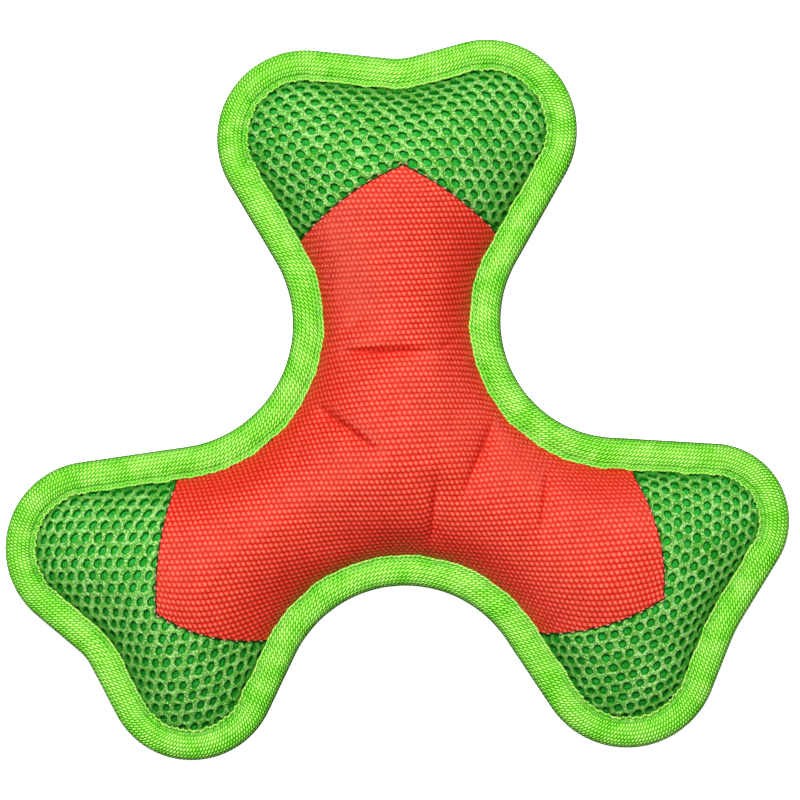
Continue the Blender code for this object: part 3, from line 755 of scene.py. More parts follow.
def hole_cell(pitch, row, axes, lean):
    """One cell of the knit around a hole: rings of (points, depth) from the cell's outline, which
    its neighbours share, in to the hole's rim and down its wall."""
    side = (row ** 2 - pitch ** 2 / 4) / (2 * row)
    tip = (row ** 2 + pitch ** 2 / 4) / (2 * row)
    corners = np.array([(pitch / 2, -side), (pitch / 2, side), (0, tip),
                        (-pitch / 2, side), (-pitch / 2, -side), (0, -tip)])
    outline = np.concatenate([corner + (after - corner) * np.arange(CELL_SIDE)[:, None] / CELL_SIDE
                              for corner, after in zip(corners, np.roll(corners, -1, axis=0))])
    angle = np.arctan2(outline[:, 1], outline[:, 0])
    up = axes[1] * np.sin(angle)
    rim = np.column_stack([axes[0] * np.cos(angle) + lean * up, up])
    lip = rim * (1 + 0.2 / np.linalg.norm(rim, axis=1)[:, None])
    return [(outline, -0.14), ((outline + lip) / 2, -0.15), (lip, -0.05), (rim * 1.05, 0.1), (rim, 0.3),
            (rim * 0.93, 0.6), (rim * 0.95, 0.9), (rim * 1.08, MESH_DEPTH)]


def hole_centres(arm, cloth, outline):
    """The middles of a cap's holes, in the knit's own coordinates."""
    pitch, row = KNIT[arm][:2]
    count = math.ceil(np.abs(cloth.high - cloth.low).max() / min(pitch, row))
    centres = np.array([((i + (j % 2) / 2) * pitch, j * row)
                        for j in range(-count, count + 1) for i in range(-count, count + 1)])
    laid = turn_knit(arm, cloth, centres)
    in_reach = ((laid > cloth.low - 6) & (laid < cloth.high + 6)).all(axis=1)
    centres, laid = centres[in_reach], laid[in_reach]
    plan, away = cloth.plan_of(laid)
    inset, _ = outline.nearest(plan)
    kept = inset > UNDER_TAPE["mesh"]
    return centres[kept & (beyond_seam(arm, plan) > -UNDER_NYLON["mesh"]) & (away < 3)]


def turn_knit(arm, cloth, points):
    """Where the knit's own coordinates lie on the flat cloth."""
    turn = KNIT[arm][2]
    x_axis, y_axis = polar(1, turn), polar(1, turn + 90)
    return (cloth.low + cloth.high) / 2 + points[:, :1] * x_axis + points[:, 1:] * y_axis


def build_mesh_cap(side, arm, cover, cloth, outline, finish):
    pitch, row, _, axes, lean = KNIT[arm]
    rings = hole_cell(pitch, row, axes, lean)
    size = len(rings[0][0])
    points, depths, faces = [], [], []
    for centre in hole_centres(arm, cloth, outline):
        start = len(points) * size
        scale, shift = RNG.uniform(0.91, 1.06), RNG.normal(0, 0.08, 2)
        for k, (ring, depth) in enumerate(rings):
            moved = centre + ring if k == 0 else centre + ring * (scale if k > 1 else 1) + shift
            points.append(moved)
            depths.append(np.full(size, depth))
        for k in range(len(rings) - 1):
            for n in range(size):
                a, b = start + k * size + n, start + k * size + (n + 1) % size
                faces.append((a, b, b + size, a + size))
    points, depths, faces = np.concatenate(points), np.concatenate(depths), np.array(faces)
    plan, _ = cloth.plan_of(turn_knit(arm, cloth, points))
    space = cover.place(plan, depths + sink(arm, plan))
    # The depth mark also carries painted shade: darker where the cap dips, beside the tape and on steep
    # slopes.
    shade = painted_mesh_shade(arm, cover, outline, plan)
    obj = mesh_object(f"{side}_air_mesh_{arm}", space, faces if cover.front else faces[:, ::-1],
                      finish, points, [("depth", depths + shade)])
    weld(obj, 0.02 * MM)
    return obj


def sink(arm, plan):
    """How far a cap dips at each place to pass under the nylon's hem."""
    return SINK * ramp(-beyond_seam(arm, plan), -1.7, -0.2)


def painted_mesh_shade(arm, cover, outline, plan):
    """Painted shade on a cap: how much darker its colour is painted where it dips under the nylon's hem, in
    a band beside the tape and on its slopes.
    """
    inset, along = outline.nearest(plan)
    uneven = 0.7 + 0.3 * slow_waves(outline, along, (23, 37, 59, 71), 44)
    beside_tape = uneven * np.exp(-np.maximum(inset - TAPE_WIDTH, 0) / 1.3)
    return SINK_PAINTED_SHADE * sink(arm, plan) + LIP_PAINTED_SHADE * beside_tape + SLOPE_PAINTED_SHADE * cover.steepness(plan)


def build_backing(side, arm, cover, outline, finish):
    """The spacer knit's smooth inner face, seen through the holes."""
    apex = np.array(SEAMS[arm][0])
    grid = plan_grid(apex - CAP_REACH, apex + CAP_REACH, BACKING_STEP)
    plan = grid.reshape(-1, 2)
    inset, _ = outline.nearest(plan)
    wanted = (inset > UNDER_TAPE["backing"]) & (beyond_seam(arm, plan) > -UNDER_NYLON["backing"])
    faces, plan = cut(grid.shape[:2], wanted, cover.front, plan)
    space = cover.place(plan, BACKING_DEPTH + sink(arm, plan))
    return mesh_object(f"{side}_mesh_backing_{arm}", space, faces, finish, plan)


# ---- edge binding

def tape_height(inset, pull):
    """Height of the tape's outer face above the middle plane, from its rim to its lip, where the
    stitches pull it in that far."""
    rim = (1 - (1 - np.clip(inset / TAPE_RIM, 0, 1)) ** 2.3) ** (1 / 2.3)
    furrow = pull * near(inset - STITCH_LINE, 0.4 + 0.35 * pull)
    belly = 0.35 * near(inset - 4.2, 1.8)
    lip = 0.4 * ramp(inset, TAPE_WIDTH - 0.5, TAPE_WIDTH)
    return TAPE_TOP * rim + belly - furrow - lip


def slow_waves(outline, along, counts, seed):
    """Unevenness along the edge, about -1 to 1, that closes on itself."""
    waves = np.random.default_rng(seed)
    return sum(np.sin(math.tau * count * along / outline.length + waves.uniform(0, math.tau))
               for count in counts) / len(counts)


def stitch_pull(outline, along):
    """How deep the binding's stitches pull the tape in, deepest on the lobes."""
    uneven = slow_waves(outline, along, (31, 53, 88, 131), 41)
    return 0.75 + 0.4 * outline.convex(along) + 0.45 * uneven


def tape_relief(along, across, pitch):
    """Height, 0 to 1, of the tape's floats at each place on the flat tape."""
    row = np.floor(across / TAPE_ROW)
    up = across / TAPE_ROW - row - 0.5
    place = along / pitch + TAPE_STAGGER * row
    beside = place - np.round(place)
    return np.sqrt(np.clip(1 - (beside / 0.4) ** 2 - (up / 0.49) ** 4, 0, 1))


def tape_section():
    """(inset, side) of the tape's outer rings, from the front lip round the fold to the back lip."""
    face = np.concatenate([TAPE_WIDTH - np.linspace(0, 1, 23) * (TAPE_WIDTH - 2.6),
                           2.6 * (1 - np.linspace(0, 1, 17)[1:]) ** 2])
    return [(inset, 1) for inset in face] + [(inset, -1) for inset in face[::-1][1:]]


def tape_face(outline, along, section, lobe, pull):
    """The outer face as rings of points, gathered by its stitches and a little uneven."""
    edge, inward = outline.at(along)
    gather = np.sin(math.tau * round(outline.length / BINDING_STITCH) * along / outline.length
                    + 2.5 * slow_waves(outline, along, (17, 29, 43), 42))
    slow = slow_waves(outline, along, (47, 71, 103), 43)
    rings = []
    for inset, sign in section:
        near_lip = ramp(inset, 5.5, TAPE_WIDTH)
        wavy = inset + near_lip * (0.28 * gather * (0.35 + 0.65 * lobe) + 0.36 * slow)
        ripple = 0.22 * near_lip * gather * (0.4 + lobe) + 0.16 * slow * ramp(inset, 0, 3)
        height = sign * (tape_height(inset, pull) + ripple)
        rings.append(np.column_stack([edge + inward * wavy[:, None], MID_PLANE + height]))
    return np.array(rings)


def ring_normals(rings):
    round_edge = np.roll(rings, -1, axis=1) - np.roll(rings, 1, axis=1)
    normal = np.cross(round_edge, np.gradient(rings, axis=0))
    normal /= np.linalg.norm(normal, axis=2)[:, :, None]
    on_front = len(rings) // 4
    return normal * np.sign(normal[on_front, 0, 2])


def tape_lean(lobe):
    """How far along a float leans per millimetre across, eased between crotches and lobes."""
    reach = round(TAPE_LEAN_EASE / TAPE_STEP)
    eased = np.convolve(np.concatenate([lobe[-reach:], lobe, lobe[:reach]]),
                        np.full(2 * reach + 1, 1 / (2 * reach + 1)), "valid")
    return TAPE_LEAN[0] + (TAPE_LEAN[1] - TAPE_LEAN[0]) * eased


def tape_marks(section, pull, levels):
    """How pale the tape is at its lip, and how much painted shade it has in its furrow, along its fold and
    over its outer face, on each ring.
    """
    lips, tape_painted_shade = np.zeros((levels, len(pull))), np.zeros((levels, len(pull)))
    for level, (inset, _) in enumerate(section):
        lips[level] = ramp(inset, TAPE_WIDTH - 0.7, TAPE_WIDTH - 0.2)
        # Painted shade in the stitch furrow, along the fold and over the outer face.
        tape_painted_shade[level] = (pull * near(inset - STITCH_LINE, 0.7) + FOLD_PAINTED_SHADE * near(inset, 0.35)
                          + RIM_PAINTED_SHADE * (1 - ramp(inset, 0.5, 4.2)))
    return [("lip", lips.ravel()), ("furrow", tape_painted_shade.ravel())]


def build_binding(outline, finish, pitch):
    """The tape as rings that run round the toy: its front face, rim, back face and inside."""
    count = round(outline.length / TAPE_STEP)
    along = np.arange(count) * outline.length / count
    edge, inward = outline.at(along)
    lobe, pull = outline.convex(along), stitch_pull(outline, along)
    section = tape_section()
    outer = tape_face(outline, along, section, lobe, pull)
    steps = np.linalg.norm(np.diff(outer, axis=0), axis=2).mean(axis=1)
    across = np.repeat(np.concatenate([[0], np.cumsum(steps)])[:, None], count, axis=1)
    lean = tape_lean(lobe)
    relief = tape_relief(along + lean * (across - TAPE_WIDTH / 2), across, pitch) - 0.6
    outer += ring_normals(outer) * (TAPE_RELIEF * relief)[:, :, None]
    inner = [np.column_stack([edge + inward * inset, np.full(count, MID_PLANE + TAPE_TOP * level)])
             for inset, level in TAPE_INSIDE]
    points = np.concatenate([outer, inner])
    levels = len(points)
    inside = across[-1, 0] + np.arange(1.0, len(inner) + 1)
    across = np.concatenate([across, np.repeat(inside[:, None], count, axis=1)])
    ring = np.arange(count)
    after = (ring + 1) % count
    faces = np.concatenate([
        np.column_stack([a + ring, b + ring, b + after, a + after])
        for a, b in ((level * count, (level + 1) % levels * count) for level in range(levels))])
    obj = mesh_object("lime_edge_binding", points.reshape(-1, 3), faces, finish,
                      marks=tape_marks(section, pull, levels))
    uv = np.stack([along + lean * (across - TAPE_WIDTH / 2), across], axis=-1).reshape(-1, 2)[faces]
    uv[:, 2:, 0] += np.where(uv[:, 2:, 0] < uv[:, :1, 0] - outline.length / 2, outline.length, 0)
    obj.data.uv_layers.new(name="cloth").uv.foreach_set("vector", uv.ravel())
    return obj


# ---- stitches

def stitch_curve(name, runs, radius, finish):
    """Short rounded stitches, one spline each, fattest in the middle."""
    curve = bpy.data.curves.new(name, "CURVE")
    curve.dimensions = "3D"
    curve.bevel_depth = radius * MM
    curve.bevel_resolution = 2
    curve.use_fill_caps = True
    for run in runs:
        spline = curve.splines.new("POLY")
        spline.points.add(len(run) - 1)
        for k, (target, point) in enumerate(zip(spline.points, run)):
            target.co = (*(np.asarray(point) * MM), 1)
            target.radius = 0.45 + 0.55 * math.sin(math.pi * k / (len(run) - 1)) ** 0.5
    curve.materials.append(finish)
    return new_object(name, curve)


def build_binding_stitches(side, outline, finish):
    count = round(outline.length / BINDING_STITCH)
    sign = 1 if side == "front" else -1
    shares, rises = np.array(STITCH_RISE).T
    runs = []
    for k in range(count):
        along = (k + shares) * outline.length / count
        edge, inward = outline.at(along)
        height = tape_height(STITCH_LINE, stitch_pull(outline, along)) + rises
        runs.append(np.column_stack([edge + inward * STITCH_LINE, MID_PLANE + sign * height]))
    return stitch_curve(f"binding_stitches_{side}", runs, 0.3, finish)


def build_seam_stitches(side, arm, cover, finish):
    """Seam thread in the fold between nylon and mesh, seen only as small dots along it."""
    apex, *ends = (np.array(point) for point in SEAMS[arm])
    shares, depths = np.array(SEAM_DOT).T
    runs = []
    for n, (end, normal) in enumerate(zip(ends, seam_legs(arm)[1])):
        count = round(np.hypot(*(end - apex)) / SEAM_STITCH)
        for k in range(count):
            share = (k + shares) / count
            plan = apex + share[:, None] * (end - apex) * 0.98
            plan += (seam_bows(arm, plan)[n] + 0.4)[:, None] * normal
            runs.append(cover.place(plan, depths))
    return stitch_curve(f"{side}_seam_stitches_{arm}", runs, 0.22, finish)


# ---- materials

class Shader:
    """A material's node tree around its Principled shader."""

    def __init__(self, name, colour, roughness, **settings):
        self.material = bpy.data.materials.new(name)
        self.material.use_nodes = True
        self.tree = self.material.node_tree
        self.out = self.tree.nodes["Principled BSDF"]
        self.out.inputs["Base Color"].default_value = (*colour, 1)
        self.out.inputs["Roughness"].default_value = roughness
        for label, value in settings.items():
            self.out.inputs[label.replace("_", " ")].default_value = value

    def node(self, kind, values=None, **settings):
        node = self.tree.nodes.new(f"ShaderNode{kind}")
        for label, value in settings.items():
            setattr(node, label, value)
        for label, value in (values or {}).items():
            self.feed(node.inputs[label], value)
        return node

    def feed(self, socket, value):
        if isinstance(value, bpy.types.NodeSocket):
            self.tree.links.new(value, socket)
        else:
            socket.default_value = value

    def math(self, operation, *values):
        node = self.node("Math", operation=operation)
        for socket, value in zip(node.inputs, values):
            self.feed(socket, value)
        return node.outputs[0]

    def mix(self, share, low, high):
        """Colour low where share is 0, high where it is 1."""
        node = self.node("Mix", {"Factor": share}, data_type="RGBA")
        for label, value in (("A", low), ("B", high)):
            socket = [s for s in node.inputs if s.name == label and s.type == "RGBA"][0]
            self.feed(socket, (*value, 1) if isinstance(value, tuple) else value)
        return [s for s in node.outputs if s.type == "RGBA"][0]

    def scale(self, value, low, high, to_low=0.0, to_high=1.0):
        node = self.node("MapRange", {"Value": value, "From Min": low, "From Max": high,
                                      "To Min": to_low, "To Max": to_high},
                         interpolation_type="SMOOTHSTEP")
        return node.outputs["Result"]

    def fade(self, value, low, high, before, after, most=1.0):
        """Colour before where the value is low, and after where it is high, or that share of it."""
        return self.mix(self.scale(value, low, high, 0.0, most), before, after)

    def attribute(self, name):
        return self.node("Attribute", attribute_name=name).outputs["Fac"]

    def random(self, place):
        """A random number for each place."""
        return self.node("TexWhiteNoise", {"Vector": place}, noise_dimensions="2D").outputs["Value"]

    def cloth(self):
        """The cloth's own coordinates in millimetres: together, across and up."""
        node = self.node("UVMap", uv_map="cloth")
        split = self.node("SeparateXYZ", {"Vector": node.outputs["UV"]})
        return node.outputs["UV"], split.outputs["X"], split.outputs["Y"]

    def noise(self, size, detail, vector=None):
        """Noise with features about size millimetres across."""
        if vector is None:
            vector = self.node("TexCoord").outputs["Object"]
            size = size * MM
        return self.node("TexNoise", {"Vector": vector, "Scale": 1 / size, "Detail": detail}).outputs["Fac"]

    def cell(self, vector, size):
        """The corner of the square cell that a place on the cloth falls in."""
        node = self.node("VectorMath", {"Vector": vector}, operation="SNAP")
        node.inputs[1].default_value = (size, size, size)
        return node.outputs["Vector"]

    def wave(self, value, length):
        """Cosine of that length, from 0 to 1."""
        cosine = self.math("COSINE", self.math("MULTIPLY", value, math.tau / length))
        return self.math("MULTIPLY_ADD", cosine, 0.5, 0.5)

    def nearest(self, value):
        """(nearest whole number, how far past it) of a value."""
        whole = self.math("ROUND", value)
        return whole, self.math("SUBTRACT", value, whole)

    def bulge(self, beside, half_width, above, half_height, power):
        """Height, 0 to 1, of a rounded float around (0, 0)."""
        wide = self.math("POWER", self.math("ABSOLUTE", self.math("DIVIDE", beside, half_width)), 2.0)
        tall = self.math("POWER", self.math("ABSOLUTE", self.math("DIVIDE", above, half_height)), power)
        left = self.math("SUBTRACT", self.math("SUBTRACT", 1.0, wide), tall)
        return self.math("SQRT", self.math("MAXIMUM", left, 0.0))

    def finish(self, colour, bump, height):
        """The material, with that colour and bumps of up to that height in millimetres."""
        self.feed(self.out.inputs["Base Color"], colour)
        node = self.node("Bump", {"Height": bump, "Distance": height * MM, "Strength": 1.0})
        self.feed(self.out.inputs["Normal"], node.outputs["Normal"])
        return self.material


def red_nylon():
    """Coarse glossy yarns: a rounded float in every cell of the weave, with fine fibres on it."""
    shader = Shader("ballistic_nylon_red", (0.8, 0.06, 0.03), 0.4, Specular_IOR_Level=0.8,
                    Specular_Tint=(1.0, 0.55, 0.45, 1))
    _, across, up = shader.cloth()
    row, above = shader.nearest(shader.math("DIVIDE", up, NYLON_ROW))
    shift = shader.math("MULTIPLY_ADD", above, NYLON_LEAN * NYLON_ROW / NYLON_PITCH,
                        shader.math("MULTIPLY", row, 0.5))
    place = shader.math("MULTIPLY_ADD", across, 1 / NYLON_PITCH, shift)
    _, beside = shader.nearest(place)
    float_top = shader.bulge(beside, 0.43, above, 0.47, 2.0)
    fibre = shader.wave(shader.math("MULTIPLY_ADD", up, 0.5, across), 0.26)
    patch = shader.scale(shader.noise(4, 3), 0.2, 0.8)
    speck = shader.noise(0.5, 2)
    # Painted highlight and shade: each float's top is painted a lighter salmon red and the gaps between
    # floats a darker red, in slow patches of tone.
    deep = shader.mix(patch, (0.58, 0.0012, 0.0003), (0.70, 0.004, 0.0006))
    high = shader.mix(patch, (0.88, 0.12, 0.06), (0.98, 0.19, 0.11))
    colour = shader.fade(float_top, 0.3, 1.0, deep, high)
    colour = shader.fade(speck, 0.4, 0.75, colour, (0.9, 0.09, 0.045), 0.3)
    # Painted shade: on steep slopes the colour is painted a deeper, more saturated red, with less of the
    # floats' painted highlight.
    steep_painted_shade = shader.fade(float_top, 0.3, 1.0, (0.64, 0.002, 0.0005), (0.80, 0.05, 0.02))
    colour = shader.fade(shader.attribute("steep"), 0.04, 0.36, colour, steep_painted_shade, 0.75)
    # Painted shade: the folded-under hem is painted near black.
    colour = shader.fade(shader.attribute("hem"), 0.0, 0.12, colour, (0.05, 0.002, 0.001), 0.95)
    fuzz = shader.math("MULTIPLY", fibre, 0.25)
    bump = shader.math("ADD", shader.math("MULTIPLY", float_top, 0.75), fuzz)
    return shader.finish(colour, bump, 0.26)


def air_mesh():
    """Looped strands of pale and deep green fibre between the holes; depth says how far down a hole's
    wall a point is, plus the cap's painted shade, and the colour is painted darker there as shade."""
    shader = Shader("air_mesh_green", (0.12, 0.45, 0.07), 0.42, Specular_IOR_Level=0.9,
                    Specular_Tint=(0.6, 1.0, 0.3, 1))
    uv, across, up = shader.cloth()
    cells = shader.node("TexVoronoi", {"Vector": uv, "Scale": 1 / STRAND, "Randomness": 0.9})
    strand = cells.outputs["Distance"]
    ribs = shader.wave(shader.math("MULTIPLY_ADD", across, 0.55, up), 0.42)
    grain = shader.scale(shader.noise(0.34, 1, uv), 0.36, 0.64)
    knit = shader.math("ADD", shader.math("MULTIPLY", strand, -0.7), shader.math("MULTIPLY", ribs, 0.35))
    knit = shader.math("MULTIPLY_ADD", grain, 0.55, knit)
    patch = shader.scale(shader.noise(8, 3), 0.3, 0.7)
    low = shader.mix(patch, (0.010, 0.27, 0.003), (0.03, 0.40, 0.012))
    high = shader.mix(patch, (0.26, 0.84, 0.12), (0.54, 1.0, 0.31))
    face = shader.fade(knit, -0.02, 0.52, low, high)
    speck = shader.random(shader.cell(uv, STRAND))
    face = shader.fade(speck, 0.7, 0.8, face, (0.10, 0.28, 0.015), 0.6)
    face = shader.mix(shader.scale(speck, 0.2, 0.34, 0.5, 0), face, (0.70, 1.0, 0.42))
    # Painted shade: the depth mark darkens the holes' walls and the places where the cap's painted shade is
    # added.
    colour = shader.fade(shader.attribute("depth"), -0.08, 0.4, face, (0.004, 0.18, 0.006))
    return shader.finish(colour, knit, 0.24)


def mesh_backing():
    """Fine dull rows, deep green in the shade of the holes."""
    shader = Shader("mesh_backing_green", (0.05, 0.3, 0.05), 0.8, Specular_IOR_Level=0.1)
    _, across, up = shader.cloth()
    rows = shader.math("MULTIPLY", shader.wave(across, 0.7), shader.wave(up, 0.55))
    rows = shader.math("MULTIPLY_ADD", shader.scale(shader.noise(1.3, 2), 0.3, 0.7), 0.6, rows)
    colour = shader.fade(rows, 0, 1.4, (0.004, 0.22, 0.006), (0.04, 0.52, 0.07))
    return shader.finish(colour, rows, 0.15)


def binding_tape(pitch):
    """Rows of short leaning floats along the tape, each a little lighter or darker than the next."""
    shader = Shader("binding_tape_lime", (0.2, 0.62, 0.07), 0.4, Specular_IOR_Level=0.35,
                    Specular_Tint=(0.5, 1.0, 0.12, 1))
    _, along, across = shader.cloth()
    rows = shader.math("DIVIDE", across, TAPE_ROW)
    row = shader.math("FLOOR", rows)
    above = shader.math("SUBTRACT", shader.math("FRACT", rows), 0.5)
    shift = shader.math("MULTIPLY", row, TAPE_STAGGER)
    column, beside = shader.nearest(shader.math("MULTIPLY_ADD", along, 1 / pitch, shift))
    relief = shader.bulge(beside, 0.37, above, 0.47, 4.0)
    cell = shader.node("CombineXYZ", {"X": column, "Y": row})
    uneven = shader.math("MULTIPLY_ADD", shader.random(cell.outputs[0]), 0.5, 0.66)
    # Painted highlight and shade: float tops are painted paler and the gaps darker, and each float's tone
    # is uneven at random.
    lit = shader.math("MULTIPLY", relief, uneven)
    patch = shader.scale(shader.noise(6, 3), 0.3, 0.7)
    low = shader.mix(patch, (0.024, 0.32, 0.0004), (0.055, 0.45, 0.0008))
    high = shader.mix(patch, (0.31, 0.92, 0.07), (0.57, 1.0, 0.21))
    colour = shader.fade(lit, 0.15, 0.8, low, high)
    # Painted shade: the furrow mark darkens the stitch furrow, the fold and the outer face, and the fold
    # near black.
    furrow = shader.attribute("furrow")
    colour = shader.fade(furrow, 0.1, 1.2, colour, (0.012, 0.32, 0.002), 0.6)
    colour = shader.fade(furrow, 1.1, 2.0, colour, (0.008, 0.10, 0.004), 0.6)
    # The lip is coloured paler, unevenly along it.
    lip_unevenness = shader.scale(shader.noise(1.6, 2), 0.35, 0.65, 0.2, 0.9)
    paler_lip = shader.math("MULTIPLY", shader.attribute("lip"), lip_unevenness)
    return shader.finish(shader.mix(paler_lip, colour, (0.60, 0.92, 0.20)), relief, 0.22)


def thread(name, colour):
    """Twisted thread, painted half as bright between its plies as shade."""
    shader = Shader(name, colour, 0.5, Sheen_Weight=0.2)
    twist = shader.node("TexWave", {"Vector": shader.node("TexCoord").outputs["Object"], "Scale": 900.0,
                                    "Distortion": 1.0}).outputs["Fac"]
    dark = tuple(0.5 * part for part in colour)
    return shader.finish(shader.mix(twist, dark, colour), twist, 0.08)


def plain_cloth(name, low, high, size):
    """Dull white cloth or fibre, uneven at that size in millimetres."""
    shader = Shader(name, high, 0.9)
    rough = shader.noise(size, 4)
    return shader.finish(shader.fade(rough, 0.3, 0.7, low, high), rough, 0.3)


def plastic(name, colour, roughness):
    """Moulded plastic with a faint cloudy grain."""
    shader = Shader(name, colour, roughness)
    grain = shader.noise(1.2, 3)
    dark = tuple(0.86 * part for part in colour)
    return shader.finish(shader.fade(grain, 0.3, 0.7, dark, colour), grain, 0.02)


def make_finishes(tape_pitch):
    return {
        "nylon": red_nylon(), "mesh": air_mesh(), "backing": mesh_backing(),
        "tape": binding_tape(tape_pitch), "lime_thread": thread("thread_lime", (0.3, 0.72, 0.08)),
        "red_thread": thread("thread_pale_red", (0.95, 0.5, 0.28)),
        "liner": plain_cloth("liner_cloth_white", (0.6, 0.6, 0.58), (0.8, 0.8, 0.78), 0.6),
        "fibre": plain_cloth("polyester_fibre_white", (0.7, 0.7, 0.69), (0.93, 0.93, 0.92), 1.1),
        "bulb": plastic("squeaker_plastic_white", (0.82, 0.84, 0.84), 0.35),
        "reed": plastic("reed_plastic_clear", (0.8, 0.83, 0.85), 0.25)}


# ---- stage

CAMERA_PLACE = (-0.3 * MM, 13.17 * MM, 916.2 * MM)  # straight above, looking down
CAMERA_LENS = 138.4
FLOOR_REACH = 6.0               # metres
FLOOR_GAP = 0.5                 # under the toy's lowest point
LIGHTS = {"key": ((-0.12, 0.5, 1.3), 0.35, 26.0), "fill": ((0.3, -0.1, 1.35), 1.0, 2.5)}
LIT_SPOT = Vector((0, 0, 0.02))
WORLD_STRENGTH = 0.16


def build_camera():
    camera = bpy.data.cameras.new("camera")
    camera.lens = CAMERA_LENS
    camera.clip_end = 10
    viewer = new_object("camera", camera)
    viewer.location = CAMERA_PLACE
    bpy.context.scene.camera = viewer


def build_floor():
    """Pale paper that glows a little, and that throws no light or reflection up at the toy."""
    mesh = bpy.data.meshes.new("floor")
    corners = [(x * FLOOR_REACH, y * FLOOR_REACH, 0) for x, y in ((-1, -1), (1, -1), (1, 1), (-1, 1))]
    mesh.from_pydata(corners, [], [(0, 1, 2, 3)])
    paper = Shader("floor_paper", (0.94, 0.94, 0.94), 0.9, Emission_Color=(1, 1, 1, 1),
                   Emission_Strength=0.9)
    mesh.materials.append(paper.material)
    ground = new_object("floor", mesh)
    ground.location.z = -FLOOR_GAP * MM
    ground.visible_diffuse = False
    ground.visible_glossy = False


def build_lights():
    for name, (place, size, power) in LIGHTS.items():
        light = bpy.data.lights.new(name, "AREA")
        light.energy = power
        light.size = size
        lamp = new_object(name, light)
        lamp.location = place
        lamp.rotation_euler = (LIT_SPOT - Vector(place)).to_track_quat("-Z", "Y").to_euler()
    world = bpy.data.worlds.new("world")
    world.use_nodes = True
    world.node_tree.nodes["Background"].inputs["Color"].default_value = (1, 1, 1, 1)
    world.node_tree.nodes["Background"].inputs["Strength"].default_value = WORLD_STRENGTH
    bpy.context.scene.world = world
    bpy.context.scene.view_settings.view_transform = "Standard"


# ---- inside: liners, filling, squeaker

def build_liner(side, cover, outline, finish):
    """The lining cloth that holds the fibre, a little slack under the covers."""
    grid = plan_grid(LINER_LOW, LINER_HIGH, LINER_STEP)
    plan = grid.reshape(-1, 2)
    inset, _ = outline.nearest(plan)
    faces, plan, inset = cut(grid.shape[:2], inset > UNDER_TAPE["liner"], cover.front, plan, inset)
    slack = (0.25 + lumps(plan * 3.1, 21, 0.12)) * ramp(inset, 9, 16)
    space = cover.place(plan, LINER_DEPTH + slack)
    obj = mesh_object(f"{side}_liner_cloth", space, faces, finish, plan)
    modifier = obj.modifiers.new("Thickness", "SOLIDIFY")
    modifier.thickness = 0.3 * MM
    modifier.offset = -1
    return obj


def build_wad(name, node, finish, frame, covers):
    """Loose fibre: the frame's plain wad, remeshed, rounded, roughened inwards and pressed in
    wherever a liner comes down on it."""
    obj = new_object(name, frame["nodes"][node].data.copy())
    obj.data.materials.clear()
    obj.data.materials.append(finish)
    remesh = obj.modifiers.new("Remesh", "REMESH")
    remesh.mode = "VOXEL"
    remesh.voxel_size = WAD_VOXEL * MM
    smooth = obj.modifiers.new("Smooth", "SMOOTH")
    smooth.iterations = 6
    shape = bpy.data.meshes.new_from_object(obj.evaluated_get(bpy.context.evaluated_depsgraph_get()))
    obj.modifiers.clear()
    obj.data = shape
    count = len(shape.vertices)
    points, normals = np.zeros(count * 3), np.zeros(count * 3)
    shape.vertices.foreach_get("co", points)
    shape.vertex_normals.foreach_get("vector", normals)
    points, normals = points.reshape(-1, 3) / MM, normals.reshape(-1, 3)
    rough = 0
    waves = np.random.default_rng(31)
    for length in WAD_WAVES:
        way = waves.normal(size=3)
        way *= math.tau / length / np.linalg.norm(way)
        rough = rough + np.sin(points @ way + waves.uniform(0, math.tau)) * length / WAD_WAVES[0]
    points -= normals * (0.35 + 0.16 * (rough + 3))[:, None]
    for cover in covers:
        room = WAD_ROOM / np.abs(cover.normals(points[:, :2])[:, 2])
        if cover.front:
            points[:, 2] = np.minimum(points[:, 2], cover.height(points[:, :2]) - room)
        else:
            points[:, 2] = np.maximum(points[:, 2], cover.height(points[:, :2]) + room)
    shape.vertices.foreach_set("co", (points * MM).ravel())
    shape.shade_smooth()
    return obj


def turned(name, profile, finish, steps=96, closed=True):
    """A body of revolution about Z from (radius, height) points, in millimetres."""
    radii, heights = np.array(profile, float).T
    points = np.concatenate([
        np.column_stack([radii * math.cos(angle), radii * math.sin(angle), heights + SQUEAKER_Z])
        for angle in np.arange(steps) * math.tau / steps])
    count = len(profile)
    faces = []
    for k in range(steps):
        after = (k + 1) % steps
        for n in range(count if closed else count - 1):
            m = (n + 1) % count
            faces.append((k * count + n, k * count + m, after * count + m, after * count + n))
    obj = mesh_object(name, points, faces, finish)
    weld(obj, 0.01 * MM)
    obj.data.set_sharp_from_angle(angle=math.radians(38))
    return obj


def rounded(profile, radius):
    """A closed profile with its corners rounded."""
    points = np.array(profile, float)
    result = []
    for before, point, after in zip(np.roll(points, 1, axis=0), points, np.roll(points, -1, axis=0)):
        lengths = np.linalg.norm(before - point), np.linalg.norm(after - point)
        setback = min(radius, 0.45 * min(lengths))
        start = point + (before - point) / lengths[0] * setback
        end = point + (after - point) / lengths[1] * setback
        for t in np.linspace(0, 1, 5):
            result.append((1 - t) ** 2 * start + 2 * t * (1 - t) * point + t * t * end)
    return result


def dome(radius, low, high):
    """A squarish dome's profile from the axis down to its rim."""
    return [(radius * math.sin(angle) ** 0.75, low + (high - low) * math.cos(angle) ** 0.75)
            for angle in (math.pi / 2 * k / DOME_STEPS for k in range(DOME_STEPS + 1))]


